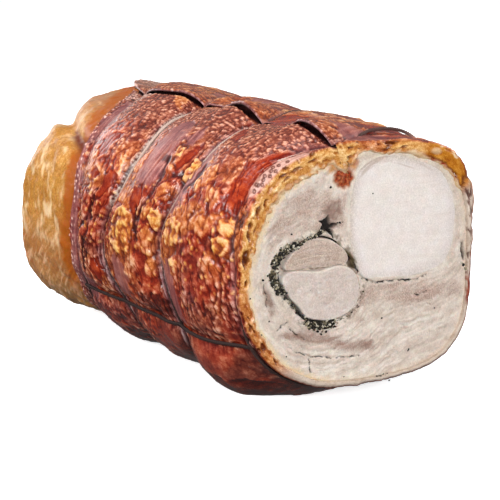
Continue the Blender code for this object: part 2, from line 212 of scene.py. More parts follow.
def edge_gap(x, lift):
    return EDGE_GAP_UNDER_TWINE + (EDGE_GAP - EDGE_GAP_UNDER_TWINE) * lift * through(EDGE_OPEN, x)


def outer_rind(x, angle, lift):
    back = (overlap_edge(x) - angle) % 360
    thin = clamp(1 - back / OVERLAP_TAIL)
    near_edge = bell(back, 0, EDGE_RISE_SPREAD)
    return under_layer(x, angle, lift) + edge_thickness(x, lift) * thin + edge_gap(x, lift) * near_edge


def top_of_rind(x, angle, lift):
    in_front = (angle - overlap_edge(x)) % 360 < POCKET_FRONT
    return np.where(in_front, under_layer(x, angle, lift), outer_rind(x, angle, lift))


def rind_end(angle):
    return through(RIND_END, angle, 360)


def bare_radius(x, angle):
    radius = outline_radius(x, angle) + lobes(x, angle)
    inset = BARE_INSET * (1 - bell(angle, 92, 36))
    radius = radius - inset * np.exp((x - rind_end(angle)) / BARE_INSET_LENGTH)
    for place, slant, depth in BARE_FOLDS:
        radius = radius - depth * bell(angle, place + slant * (x - BARE_FOLD_FROM), BARE_FOLD_SPREAD)
    start = through(DOME_START, angle, 360)
    reach = clamp((start - x) / (start + HALF_LENGTH))
    return radius * (1 - reach**DOME_ROUNDNESS) ** (1 / DOME_ROUNDNESS)


def place_points(x, angle, radius):
    """Points at these places along the roll, angles and radii, kept above the board."""
    x, angle, radius = np.broadcast_arrays(x, angle, radius)
    y = radius * cosine(angle)
    z = AXIS_HEIGHT + radius * sine(angle)
    return np.stack([x, y, np.clip(z, 0, None)], axis=-1)


# ---------------------------------------------------------------- patterns
HASH_STEPS = (73856093, 19349663, 83492791)


def hashed(cell, seed):
    """The same random number from 0 to 1 for a cell each time it is asked for."""
    total = np.uint64(seed * 2654435761 % 2**32)
    for i, step in enumerate(HASH_STEPS):
        total = total ^ (cell[..., i].astype(np.int64).astype(np.uint64) * np.uint64(step))
    low = np.uint64(0xFFFFFFFF)
    total = ((total ^ (total >> np.uint64(15))) * np.uint64(2246822519)) & low
    total = ((total ^ (total >> np.uint64(13))) * np.uint64(3266489917)) & low
    total = total ^ (total >> np.uint64(16))
    return (total & np.uint64(0xFFFFFF)).astype(float) / 0x1000000


def lumps(points, seed):
    """Smooth lumps from -1 to 1, one to each unit of length."""
    base = np.floor(points)
    t = points - base
    t = t * t * (3 - 2 * t)
    total = 0.0
    for corner in itertools.product((0, 1), repeat=3):
        weight = 1.0
        for i, side in enumerate(corner):
            weight = weight * (t[..., i] if side else 1 - t[..., i])
        total = total + weight * hashed(base + np.array(corner), seed)
    return 2 * total - 1


TURNED = np.array(Matrix.Rotation(0.65, 3, "Z") @ Matrix.Rotation(0.5, 3, "X"))
NEXT_SEED = 17         # from one octave of lumps to the next
BEAD_MARGIN = 0.15     # how far the scattered points keep from the sides of their cells
FAR_AWAY, ALMOST_NOTHING = 1e9, 1e-9


def grain(points, size, seed, octaves=3):
    """Lumps of a size, with finer ones on them."""
    points = points @ TURNED
    total = 0.0
    for octave in range(octaves):
        total = total + lumps(points / size * 2**octave, seed + NEXT_SEED * octave) * 0.5**octave
    return total


def sheet(u, v):
    """Two directions on a surface as points."""
    return np.stack([u, v, u * 0], -1)


def streaks(u, v, seed, octaves, shake=0.0):
    """Lumps on a surface whose two directions are divided by the sizes that the lumps have along them."""
    return grain(sheet(u, v) + np.asarray(shake)[..., None], 1.0, seed, octaves)


def beads(u, v, size, seed):
    """How far the nearest of many scattered points is, where they lie about one size apart and the answer
    counts in sizes, and that point's own random number."""
    base = sheet(np.floor(u / size), np.floor(v / size))
    free = 1 - 2 * BEAD_MARGIN
    nearest = np.full(u.shape, FAR_AWAY)
    own = np.zeros(u.shape)
    for i, j in itertools.product((-1, 0, 1), repeat=2):
        cell = base + np.array((i, j, 0))
        du = cell[..., 0] + BEAD_MARGIN + free * hashed(cell, seed) - u / size
        dv = cell[..., 1] + BEAD_MARGIN + free * hashed(cell, seed + 1) - v / size
        far = np.hypot(du, dv)
        closer = far < nearest
        nearest = np.where(closer, far, nearest)
        own = np.where(closer, hashed(cell, seed + 2), own)
    return nearest, own


def ease(value, low, high):
    """0 below low, 1 above high and smooth between."""
    t = clamp((value - low) / (high - low))
    return t * t * (3 - 2 * t)


def fade(value, low, high):
    """1 below low, 0 above high and smooth between."""
    return 1 - ease(value, low, high)


def between(angle, start, stop, soft=6):
    """1 between two angles round the roll and 0 outside them."""
    middle, half = (start + stop) / 2, (stop - start) / 2
    return fade(np.abs(angle_between(angle, middle)), half - soft / 2, half + soft / 2)


def near_line(u, v, line, reach, closed=False):
    """Which places lie within reach of a line's box, how far each of them is from the line, and which of
    them a closed line holds."""
    line = np.array(line, float)
    low, high = line.min(0) - reach, line.max(0) + reach
    near = (u > low[0]) & (u < high[0]) & (v > low[1]) & (v < high[1])
    p = np.stack([u[near], v[near]], -1)
    far = np.full(len(p), FAR_AWAY)
    inside = np.zeros(len(p), bool)
    for a, b in zip(line, np.roll(line, -1, 0) if closed else line[1:]):
        run = b - a
        t = clamp(((p - a) @ run) / max(run @ run, ALMOST_NOTHING))
        far = np.minimum(far, np.hypot(*(p - a - t[:, None] * run).T))
        crosses = (a[1] > p[:, 1]) != (b[1] > p[:, 1])
        inside ^= crosses & (p[:, 0] < a[0] + (p[:, 1] - a[1]) * run[0] / (run[1] or ALMOST_NOTHING))
    return near, far, inside


def patch(u, v, outline, soft):
    """1 inside a closed outline, 0 outside it, and smooth over its edge."""
    mask = np.zeros(u.shape)
    near, far, inside = near_line(u, v, outline, soft, closed=True)
    mask[near] = ease(np.where(inside, far, -far), -soft, soft)
    return mask


def line_mask(u, v, line, width):
    """1 on a line and 0 half a width away from it."""
    mask = np.zeros(u.shape)
    near, far, _ = near_line(u, v, line, width)
    mask[near] = fade(far, 0.0, width / 2)
    return mask


# ---------------------------------------------------------------- meshes
def store(made, word, values):
    """Keeps a number for each point of a mesh under a word that the finishes read."""
    values = np.asarray(values, np.float32).ravel()
    made.attributes.new(word, "FLOAT", "POINT").data.foreach_set("value", values)


def plain_mesh(name, vertices, faces, tone=None):
    made = bpy.data.meshes.new(name)
    made.from_pydata(vertices.tolist(), [], faces)
    if tone is not None:
        store(made, "tone", tone)
    made.shade_smooth()
    return made


def grid_mesh(name, points, masks, tip=None):
    """A mesh on a grid of points, closed round its second direction and by a tip, with its bake map."""
    rows, around = points.shape[:2]
    index = np.arange(rows * around).reshape(rows, around)
    following = np.roll(index, -1, axis=1)
    faces = np.stack([index[:-1], following[:-1], following[1:], index[1:]], -1).reshape(-1, 4).tolist()
    vertices = points.reshape(-1, 3)
    total = rows - 1
    if tip is not None:
        total = rows
        last = len(vertices)
        vertices = np.vstack([vertices, tip])
        faces += [[a, b, last] for a, b in zip(index[-1], following[-1])]
    made = plain_mesh(name, vertices, faces)
    across, down = np.meshgrid(np.arange(around), np.arange(rows - 1))
    corners = [(across + du, down + dv) for du, dv in ((0, 0), (1, 0), (1, 1), (0, 1))]
    flat = np.stack([np.stack([c[0] / around, c[1] / total], -1) for c in corners], 2).reshape(-1, 2)
    if tip is not None:
        columns = np.arange(around)
        low = np.full(around, (rows - 1) / total)
        fan = [(columns, low), (columns + 1, low), (columns + 0.5, low + 1 / total)]
        fan = np.stack([np.stack([c[0] / around, c[1]], -1) for c in fan], 1)
        flat = np.vstack([flat, fan.reshape(-1, 2)])
    made.uv_layers.new(name="OFBake").data.foreach_set("uv", flat.astype(np.float32).ravel())
    for word, values in masks.items():
        values = np.asarray(values, np.float32).ravel()
        if tip is not None:
            values = np.append(values, values[-around:].mean())
        store(made, word, values)
    return made


def placed(name, data):
    """Puts a mesh, a lamp or a camera in the scene as a named object."""
    thing = bpy.data.objects.new(name, data)
    bpy.context.scene.collection.objects.link(thing)
    return thing


def piece(made, finish, node):
    """Puts a mesh in place as a piece of the same name that rides on the roll."""
    thing = placed(made.name, made)
    made.materials.append(finish)
    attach(thing, "root")
    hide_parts(node)


# ---------------------------------------------------------------- finishes
def colour(text):
    """An sRGB hex colour as linear light."""
    parts = [int(text[i:i + 2], 16) / 255 for i in (1, 3, 5)]
    return tuple(p / 12.92 if p <= 0.04045 else ((p + 0.055) / 1.055) ** 2.4 for p in parts) + (1.0,)


def add(tree, kind, inputs=None, **settings):
    """Adds a node with its settings, and sets or links its inputs."""
    made = tree.nodes.new("ShaderNode" + kind)
    for word, value in settings.items():
        setattr(made, word, value)
    for word, value in (inputs or {}).items():
        if isinstance(value, bpy.types.NodeSocket):
            tree.links.new(value, made.inputs[word])
        else:
            made.inputs[word].default_value = value
    return made


MIX_A, MIX_B, MIX_OUT = 6, 7, 2     # a mix node's sockets for colours


def layered(tree, under, layers):
    """Colours laid one over another, each where its own mask shows it."""
    for word, over in layers:
        over = colour(over) if isinstance(over, str) else over
        mask = add(tree, "Attribute", attribute_name=word).outputs["Fac"]
        mix = add(tree, "Mix", {0: mask, MIX_A: under, MIX_B: over}, data_type="RGBA")
        under = mix.outputs[MIX_OUT]
    return under


def shaded(tree, factor, hexes, places=None):
    """A run of hex colours read by a number from 0 to 1, evenly spaced unless it is told their places."""
    hexes = hexes.split()
    ramp = add(tree, "ValToRGB", {0: factor})
    points = ramp.color_ramp.elements
    for _ in hexes[2:]:
        points.new(0.5)
    for point, place in zip(points, places or np.linspace(0, 1, len(hexes))):
        point.position = place
    for point, text in zip(points, hexes):
        point.color = colour(text)
    return ramp.outputs[0]


def finish(name, surface):
    """A new material and its parts: node tree, surface shader and the pattern's place in millimetres."""
    made = bpy.data.materials.new(name)
    made.use_nodes = True
    tree = made.node_tree
    tree.nodes.clear()
    shader = add(tree, "BsdfPrincipled", surface)
    out = add(tree, "OutputMaterial", {"Surface": shader.outputs[0]})
    out.is_active_output = True
    place = add(tree, "TexCoord").outputs["Object"]
    place = add(tree, "VectorMath", {0: place, 1: (1000.0, 1000.0, 1000.0)}, operation="MULTIPLY").outputs[0]
    return made, tree, shader, place


def speckle(tree, place, size, detail=2.0):
    """Noise of a real size in millimetres, from 0 to 1."""
    settings = {"Vector": place, "Scale": 1.0 / size, "Detail": detail, "Roughness": 0.55}
    return add(tree, "TexNoise", settings).outputs[0]


def dress(tree, shader, base, strength, distance, height):
    """Gives a surface its colour and its fine bumps."""
    bumps = add(tree, "Bump", {"Strength": strength, "Distance": distance, "Height": height})
    tree.links.new(base, shader.inputs["Base Color"])
    tree.links.new(bumps.outputs[0], shader.inputs["Normal"])


# Each colour of roast rind, from painted shade in its hollows to painted highlights on its high points
TONES = (0.05, 0.3, 0.5, 0.7, 0.95)
RIND_TONES = {
    "ground": "#4c0e06 #80200f #a94128 #d07656 #f5b9a2",
    "crown": "#3d0f08 #6e2a1c #9a4e38 #c47d60 #f0bca2",
    "amber": "#6e2408 #9e4616 #c36a30 #dc925c #f1bf92",
    "red": "#5e0e04 #801c06 #9e300f #bb4d20 #e08a5c",
    "mauve": "#4e242d #7b4347 #9f6361 #bd8784 #e0b6b0",
    "plum": "#2a0b10 #521c20 #7c3836 #a05c58 #d29c96",
    "wrap": "#301016 #5c3639 #8a6266 #ab8889 #cfb2b0",
    "grey": "#6a5048 #9f8478 #c0a99c #d5c1b5 #eaddd3",
    "gold": "#6b2408 #9e4a12 #c57026 #dd9a3e #f7cf82",
    "dark": "#240604 #380b06 #4e150c #722c20 #b87a6c",
    "hollow": "#0e0708 #170c0e #211316 #2e1d21 #45303a",
    "pit": "#4a1a10 #5e2618 #743524 #8c4a38 #a86a56",
    "crust": "#6e2c0c #a35a22 #cc8c45 #eabd7c #fce6bf",
    "glaze": "#6c2804 #94490a #b87018 #cf9036 #ebc583",
    "flap": "#6b4638 #8f6756 #b08675 #c29c8b #d8b8a8",
    "fat": "#8d7462 #b59d8a #cdb9a8 #dccbbc #ebdfd3",
    "cream": "#a87849 #c59869 #dab68b #e9cfaa #f5e3c9",
    "pale": "#c08a78 #d49f8d #e4b4a4 #eec6b8 #f7dcd0",
}
RIND_LAYERS = ("crown", "amber", "plum", "red", "mauve", "grey", "gold", "wrap", "flap", "crust", "glaze",
               "fat", "cream", "dark", "pale", "pit", "hollow")


def roast_rind():
    """Pork rind roasted to crackling: dried, blistered skin over fat. It gives glassy red-brown with pink lights on
    its pimples, and puffed golden blisters, which are drier. Its colours run from painted shade in the hollows to
    painted highlights on the high points. The skin's own grain is finer than a tenth of a millimetre and is drawn
    at 0.6 and 0.8 mm, so that it shows."""
    made, tree, shader, place = finish("roast pork rind", {
        "IOR": 1.46, "Metallic": 0.0, "Specular IOR Level": 0.32, "Coat Weight": 0.08,
        "Coat Roughness": 0.12})
    stand, gold, mauve = (add(tree, "Attribute", attribute_name=word).outputs["Fac"]
                          for word in ("stand", "gold", "mauve"))
    fine = add(tree, "MapRange", {0: speckle(tree, place, 0.8, 3.0), 1: 0.25, 2: 0.75}).outputs[0]
    tone = add(tree, "Mix", {0: 0.3, 2: stand, 3: fine}).outputs[0]
    skin = {word: shaded(tree, tone, hexes, TONES) for word, hexes in RIND_TONES.items()}
    base = layered(tree, skin["ground"], [(word, skin[word]) for word in RIND_LAYERS])
    matt = add(tree, "Math", {0: gold, 1: mauve}).outputs[0]
    dry = add(tree, "Math", {0: matt, 1: 0.25, 2: 0.23}, operation="MULTIPLY_ADD").outputs[0]
    tree.links.new(dry, shader.inputs["Roughness"])
    dress(tree, shader, base, 0.6, 0.0002, speckle(tree, place, 0.6))
    return made


def cut_meat(name, lean_hexes, fat_hexes):
    """Roast pork cut across: moist pale muscle in layers with cream fat. It gives a soft matt face with
    streaks along the layers. Its fibres are about 0.1 mm thick and are drawn at 0.8 and 1.1 mm, so that
    they show."""
    made, tree, shader, place = finish(name, {
        "IOR": 1.4, "Metallic": 0.0, "Specular IOR Level": 0.4, "Roughness": 0.5,
        "Subsurface Weight": 0.12, "Subsurface Scale": 0.004})
    fine = speckle(tree, place, 0.8, 3.0)
    fibre, broad, toast = (add(tree, "MapRange", {0: noise, 1: low, 2: high}).outputs[0] for noise, low, high in (
        (fine, 0.3, 0.7), (speckle(tree, place, 6.0, 3.0), 0.3, 0.7), (speckle(tree, place, 1.6, 3.0), 0.35, 0.65)))
    # The near-black last colour is painted shade in the cracks and holes
    base = layered(tree, shaded(tree, broad, fat_hexes), (
        ("lean", shaded(tree, fibre, lean_hexes)), ("streak", "#bda597"), ("pale", "#efe5da"),
        ("peach", "#e6cca6"), ("mauve", "#917467"), ("olive", "#57482f"), ("gold", "#c8905a"),
        ("char", shaded(tree, toast, "#621804 #8e2c0b #b6582a")), ("dark", "#140d0a")))
    shade = add(tree, "MapRange", {0: fine, 1: 0.28, 2: 0.72, 3: 0.85, 4: 1.09}).outputs[0]
    base = add(tree, "HueSaturation", {"Value": shade, "Color": base}).outputs[0]
    dress(tree, shader, base, 0.8, 0.0004, speckle(tree, place, 1.1, 4.0))
    return made


def golden_fat():
    """Fat and thin skin roasted golden where the roll has no thick rind. It gives a smooth amber skin with cream
    where the fat shows through, with more cream painted on as a broad highlight on the side and as painted light on
    its back, mottled at 9 mm by the lobes of fat and at about 1 mm by the skin."""
    made, tree, shader, place = finish("golden roast fat", {
        "IOR": 1.45, "Metallic": 0.0, "Specular IOR Level": 0.45, "Roughness": 0.42,
        "Subsurface Weight": 0.1, "Subsurface Scale": 0.004, "Coat Weight": 0.1, "Coat Roughness": 0.25})
    fine = add(tree, "MapRange", {0: speckle(tree, place, 1.3), 1: 0.25, 2: 0.75}).outputs[0]
    broad = add(tree, "MapRange", {0: speckle(tree, place, 9.0), 1: 0.3, 2: 0.7}).outputs[0]
    tone = add(tree, "Mix", {0: 0.4, 2: fine, 3: broad}).outputs[0]
    base = layered(tree, shaded(tree, tone, "#8c5214 #b0742a #c98f42 #e8bd82", (0.0, 0.35, 0.65, 1.0)), (
        ("blush", "#ab7757"), ("pale", "#f0cb9c"), ("brown", "#ab6838"), ("streak", "#f0bc94"),
        ("rich", "#ab5502"), ("dark", "#6a210a")))
    glow = add(tree, "MapRange", {0: speckle(tree, place, 0.8, 3.0), 1: 0.3, 2: 0.7, 3: 0.92, 4: 1.08})
    base = add(tree, "HueSaturation", {"Saturation": 1.02, "Value": glow.outputs[0], "Color": base}).outputs[0]
    dress(tree, shader, base, 0.5, 0.0003, speckle(tree, place, 0.9, 3.0))
    return made


def plain_finish(name, hexes, roughness):
    """A simple finish whose colour runs through a few hexes by the mesh's own tone, with a half-millimetre
    grain."""
    made, tree, shader, place = finish(name, {"Roughness": roughness, "IOR": 1.45, "Metallic": 0.0})
    tone = add(tree, "Attribute", attribute_name="tone").outputs["Fac"]
    dress(tree, shader, shaded(tree, tone, hexes), 0.5, 0.0002, speckle(tree, place, 0.5))
    return made


# ---------------------------------------------------------------- the rind
ROUND = 71.6 * math.pi / 180   # millimetres of rind to a degree
# How far each column of the mesh lies from the overlap's edge, in degrees: finer where it faces the light
FINE_STEP, COARSE_STEP = 0.45, 0.95
FINE_TURNS = np.arange(202, 360 - POCKET_FRONT - 0.5, FINE_STEP)
TURNS = np.concatenate([np.arange(0.4, 20.0, FINE_STEP), np.arange(20.0, FINE_TURNS[0] - 0.5, COARSE_STEP),
                        FINE_TURNS])


def outlines(*traced):
    """Traced outlines on the rind as (millimetres, millimetres of rind) points."""
    return [[(x, angle * ROUND) for x, angle in line] for line in traced]


RED_STRIPES = outlines(
    ((-31, 143), (-32, 139), (-25, 136), (-19, 136), (-19, 145), (-22, 148), (-26, 150), (-33, 145)),
    ((-9, 151), (-5, 150), (0, 153), (-2, 157), (-8, 162), (-15, 166), (-14, 160), (-12, 155)),
    ((-31, 155), (-23, 153), (-17, 156), (-23, 159)),
    ((56, 143), (58, 137), (60, 131), (61, 128), (65, 134), (67, 140), (63, 144), (60, 146)),
    ((28, 156), (36, 153), (44, 157), (37, 163), (30, 167), (25, 162)),
    ((122, 131), (128, 137), (130, 144), (131, 150), (130, 156), (122, 157), (118, 151), (118, 145),
     (117, 139), (116, 133)),
    ((121, 134), (122, 128), (130, 119), (134, 121), (127, 127), (128, 135)),
    ((77, 125), (74, 119), (58, 107), (57, 104), (84, 119), (91, 126)),
    ((64, 102), (59, 90), (74, 80), (98, 80), (107, 92), (101, 104), (86, 105)),
    ((-22, 191), (-14, 189), (-11, 196), (-19, 202), (-25, 197)),
)
MAUVE_STRIPS = outlines(
    ((22, 123), (27, 119), (38, 122), (43, 130), (45, 136), (52, 144), (50, 150), (40, 154), (27, 155),
     (25, 150), (27, 144), (25, 137), (22, 128)),
    ((46, 131), (45, 125), (48, 122), (56, 127), (55, 133)),
    ((66, 127), (66, 124), (82, 134), (88, 141), (85, 148), (80, 154), (74, 160), (64, 162), (66, 156),
     (69, 150), (77, 142), (75, 136)),
    ((-73, 143), (-62, 136), (-67, 125), (-76, 110), (-55, 116), (-46, 130), (-54, 138), (-55, 146),
     (-54, 152)),
    ((2, 186), (16, 186), (25, 192), (23, 200), (6, 203), (6, 193)),
    ((60, 181), (72, 181), (78, 188), (81, 194), (82, 203), (65, 206), (63, 198), (60, 190)),
    ((-56, 148), (-50, 150), (-47, 165), (-47, 185), (-50, 198), (-57, 196), (-56, 175)),
    ((-56, 195), (-50, 196), (-27, 202), (-35, 211), (-48, 213), (-62, 208), (-68, 201)),
    ((113, 91), (116, 76), (128, 70), (138, 74), (138, 90), (126, 95)),
)
# Rings round the pores near the cut, and the slant and stretch that they share
PORES = ((135.5, 144), (135.3, 141.2), (135.8, 138.4), (133.4, 136.4), (134.4, 133.4), (132, 131.2),
         (135, 129.6), (138.6, 133.0), (138.4, 136.0), (137.6, 126.4), (138.6, 140.6), (132.4, 141.0))
PORE_SLANT = ((0.63, -0.92), (0.17, 0.83))
GOLD_BLISTERS = outlines(
    ((11, 166), (21, 164), (29, 166), (32, 170), (30, 176), (26, 182), (18, 184), (9, 182), (2, 179),
     (3, 174), (7, 170)),
    ((47, 136), (50, 134), (56, 137), (57, 140), (52, 140)),
    ((68, 142), (69, 138), (78, 140), (81, 144), (73, 148), (68, 148), (67, 145)),
    ((49, 162), (56, 161), (59, 165), (56, 170), (52, 169), (48, 165)),
    ((67, 164), (79, 162), (86, 164), (85, 169), (80, 174), (70, 174), (66, 170)),
    ((122, 159), (127, 156.5), (132, 158), (133, 162), (130, 164), (123, 163)),
    ((117, 165), (125, 164), (130, 165), (131, 169), (127, 172.5), (119, 170)),
    ((73, 179), (84, 177), (84, 180), (75, 182)),
)
AMBER_PATCHES = outlines(
    ((53, 152), (63, 150), (69, 149), (69, 152), (67, 155), (61, 158), (52, 158), (49, 156)),
    ((100, 148), (107, 147), (114, 149), (116, 153), (112, 156), (105, 154)),
    ((100, 162), (106, 160), (112, 160), (115, 163), (112, 166), (104, 166)),
    ((36, 172), (49, 170), (56, 172), (57, 178), (47, 181), (34, 179)),
    ((-4, 145), (0, 143), (5, 148), (4, 152), (-1, 149)),
    ((-35, 101), (-28, 98), (-19, 101), (-13, 109), (-18, 109)),
    ((86, 146), (92, 141), (98, 138), (104, 144), (97, 149), (90, 152)),
    ((-12, 196), (2, 195), (-7, 204), (-26, 209)),
    ((44, 183), (53, 181), (56, 184), (54, 189), (45, 188)),
    ((43, 175), (55, 173), (64, 176), (47, 180)),
)
# Traced dark lines and patches: the lines are cut in as grooves and painted dark as their shade, several of them as
# the shadow beside a golden blister; the patches are darker skin, one of them painted shadow under a golden
# blister, and the lowest darkens the underside of the near lobe.
DARK_LINES = outlines(
    ((47, 142), (50, 150), (46, 157), (39, 164), (33, 172)),
    ((-17, 165), (-21, 170), (-27, 175), (-42, 182)),
    ((86, 141), (84, 148), (76, 151)),
    ((-20, 166), (-21, 173), (-27, 180), (-34, 189), (-34, 196)),
    ((34, 164), (33, 170), (36, 176)),
    ((60, 147), (66, 146), (70, 149)),
)
DARK_PATCHES = outlines(
    ((30, 198), (49, 196), (62, 198), (63, 205), (48, 208), (35, 204)),
    ((-33, 183), (-20, 180), (-17, 183), (-24, 190), (-35, 191)),
    ((130, 155), (135, 153), (142, 152), (140, 158), (133, 160)),
    ((42, 140), (54, 140), (56, 143), (50, 144), (42, 143)),
    ((85, 222), (118, 226), (130, 236), (120, 250), (70, 250), (60, 230)),
)
PORE_PATCH, VIOLET_PATCH, PALE_CRUST = outlines(
    ((129, 144), (132, 147), (138, 145), (143, 139), (144, 122), (140, 117), (134, 119), (131, 125),
     (130, 131), (129, 138)),
    ((86, 170), (98, 168), (110, 175), (112, 188), (102, 196), (88, 190)),
    ((-88, 108), (-92, 99), (-82, 102), (-66, 104), (-56, 103), (-50, 107), (-53, 112), (-54, 116)),
)


def lift_mask(masks, word, value):
    """Makes a mask at least as strong as a value."""
    masks[word] = np.maximum(masks[word], value)


def around_mean(values, reach):
    """The mean of a grid of values over a square round each place."""
    padded = np.pad(values, ((reach, reach), (0, 0)), mode="edge")
    padded = np.pad(padded, ((0, 0), (reach, reach)), mode="wrap")
    total = np.cumsum(np.cumsum(np.pad(padded, ((1, 0), (1, 0))), 0), 1)
    k = 2 * reach + 1
    return (total[k:, k:] - total[:-k, k:] - total[k:, :-k] + total[:-k, :-k]) / k**2


def rind_masks(x, angle, course, from_loop, from_third):
    """What shows at each place of the rind, from 0 to 1, and how far it stands proud in metres. course is
    the distance from the last loop along the roll, from_loop that to the nearest loop and from_third that
    to the third loop, in millimetres."""
    u, v = x / MM, angle * ROUND
    flat, along = sheet(u, v), sheet(course, v)
    long_way = flat / np.array([1.45, 1.0, 1.0])      # roast skin's marks are longer along the roll
    warp_u = 1.5 * grain(flat, 5.0, 3)
    warp_v = 1.3 * grain(flat, 5.0, 4)
    wu, wv = u + warp_u, v + warp_v
    ragged = grain(long_way, 2.8, 5)

    def blotches(lines, soft, raggedness):
        return ease(sum(patch(wu, wv, line, soft) for line in lines) + raggedness * ragged, 0.3, 0.75)

    red = blotches(RED_STRIPES, 2.4, 0.25)
    mauve = blotches(MAUVE_STRIPS, 3.6, 0.4)
    gold = blotches(GOLD_BLISTERS, 1.4, 0.18)
    amber = blotches(AMBER_PATCHES, 2.6, 0.35)
    # The dark patches are darker skin, with painted shadow under a golden blister; the dark lines are painted shade
    # in cut-in grooves.
    darkened = blotches(DARK_PATCHES, 3.0, 0.3)
    dark_line = clamp(sum(line_mask(wu, wv, line, 5.5) for line in DARK_LINES))
    # The same kinds of patch go on round the side that the traced ones don't reach
    away = ease(np.abs(angle_between(angle, 170)), 84, 96)
    blot = streaks(u / 20, v / 11, 21, 3)
    strip = streaks(course / 8, v / 34, 22, 2)
    spots = grain(flat, 12.0, 23)
    gold = clamp(gold + away * bell(angle, 20, 48) * ease(spots, 0.6, 0.78))
    amber = clamp(amber + 0.8 * away * ease(spots, 0.2, 0.55))
    red = clamp(red + away * ease(strip, 0.35, 0.55))
    mauve = clamp(mauve + away * ease(-strip, 0.42, 0.6))
    near_pores = patch(wu, wv, PORE_PATCH, 1.2)
    crust = patch(wu, wv, PALE_CRUST, 2.0)
    # Small golden flecks where the skin has just begun to puff
    middle = bell(angle, 168, 30) + away * bell(angle, 10, 40)
    fleck, fleck_own = beads((u + warp_u) / 1.5, v + warp_v, 3.8, 64)
    flecks = fade(fleck, 0.1, 0.3) * ease(fleck_own, 0.45, 0.6) * clamp(middle)
    flecks = flecks * (1 - mauve) * (1 - red) * (1 - near_pores)

    # Broad areas: the fine-grained crown, the darker low side and wine-coloured clouds
    crown = fade(angle + 9 * grain(flat, 14.0, 41), 126, 152)
    crown = crown * np.where(angle < 84, bell(angle, 84, 36), 1.0) * (1 - 0.45 * between(angle, 40, 98, 10))
    low = ease(angle, 176, 216) * fade(angle, 300, 345)
    low_near = ease(u, 62, 90) * between(angle, 176, 230, 10)
    lobe_skin = ease(u, 20, 50) * between(angle, 211, 262, 8)     # smooth skin of the lobe under the cord
    wine = ease(grain(along / np.array([1.6, 1.0, 1.0]), 11.0, 42), -0.05, 0.45)
    # Pimples of two sizes, knobs and blisters
    shaken_u = (u + 0.9 * warp_u + 0.35 * grain(flat, 2.0, 43, 2)) / 1.5
    shaken_v = v + 0.9 * warp_v + 0.35 * grain(flat, 2.0, 44, 2)
    coarse = ease(grain(flat, 8.0, 45, 2), -0.1, 0.3)
    pimple = 0.0
    for size, seed, share in ((2.0, 51, 1 - coarse), (2.8, 48, coarse)):
        far, own = beads(shaken_u, shaken_v, size, seed)
        pimple = pimple + share * clamp(1 - (far / (0.4 + 0.16 * own)) ** 2) * (0.15 + 0.85 * own)
    far, own = beads((u + warp_u) / 1.35, v + warp_v, 3.9, 55)
    knob = clamp(1 - (far / (0.48 + 0.22 * own)) ** 2) * (0.25 + 0.75 * own)
    far, own = beads((u + 0.8 * warp_u) / 1.7, v + 0.8 * warp_v, 6.0, 58)
    puffed = clamp(1 - (far / (0.58 + 0.15 * own)) ** 2)
    swollen = grain(long_way, 7.5, 61, 2)
    knobbly = grain(long_way, 1.8, 62)
    patchy = ease(grain(along / np.array([1.5, 1.0, 1.0]), 8.0, 63, 2), -0.35, 0.35)
    # Wrinkles and, beside the loops, strands of skin that run round the roll
    wrinkle = fade(np.abs(streaks(course / 6, v / 11, 72, 2, 0.06 * warp_u)), 0.0, 0.16)
    strands = streaks(course / 2.3, v / 17, 71, 3, 0.05 * warp_u)
    crease = fade(np.abs(strands), 0.0, 0.22) * fade(from_loop, 4, 13)
    crease = np.maximum(crease, 0.8 * wrinkle * (1 - 0.7 * crown)) * (1 - gold) * (1 - 0.8 * mauve)
    crease = crease * (1 - 0.8 * lobe_skin)
    groove = fade(from_loop, 0.6, 3.2)
    # The third loop has left a broad pale pressed strip on the shoulder, and all of them low on the side
    rope = fade(from_third, 2.6, 3.8) * ease(angle, 106, 114) * fade(angle, 163, 171)
    rope_dots = ease(beads(u * 0 + from_third, v, 1.9, 57)[0], 0.5, 0.15)
    low_side = ease(angle, 180, 190) * fade(angle, 216, 224)
    wrap = fade(from_loop + 0.9 * ragged, 2.4, 5.0) * low_side * (course > 40)
    fibre = streaks(course / 0.9, v / 12, 73, 2)
    silk = streaks(course / 1.3, v / 15, 74, 3, 0.04 * warp_u)
    sheen = streaks(course / 4.0, v / 24, 75, 2)
    # Close to the loops the skin is plum dark as painted shade along the loops, and in broad areas low on the side
    # it has gone plum dark; the violet patch low on the near lobe is a painted sheen
    beside = fade(from_loop + ragged, 1.5, 9) * between(angle, 116, 262, 24)
    to_end = (x - rind_end(angle)) / MM
    plum = beside * (0.35 + 0.5 * grain(flat, 8.0, 112))
    plum = plum + 0.6 * low * ease(grain(flat, 16.0, 113, 2), -0.1, 0.5)
    plum = plum + fade(to_end, 3, 14) * (0.3 + 0.2 * silk + 1.1 * grain(flat, 2.6, 114))
    plum = plum * (1 - 0.8 * lobe_skin) + 0.5 * patch(wu, wv, VIOLET_PATCH, 7.0) * (0.8 + 0.6 * ragged)
    far, own = beads(u, v / 1.2, 2.4, 59)
    specks = fade(far, 0.15, 0.38) * ease(own, 0.35, 0.6) * fade(to_end, 1.5, 8)
    knobs = between(angle, 5, 34, 8) * ease(u, 126, 137)

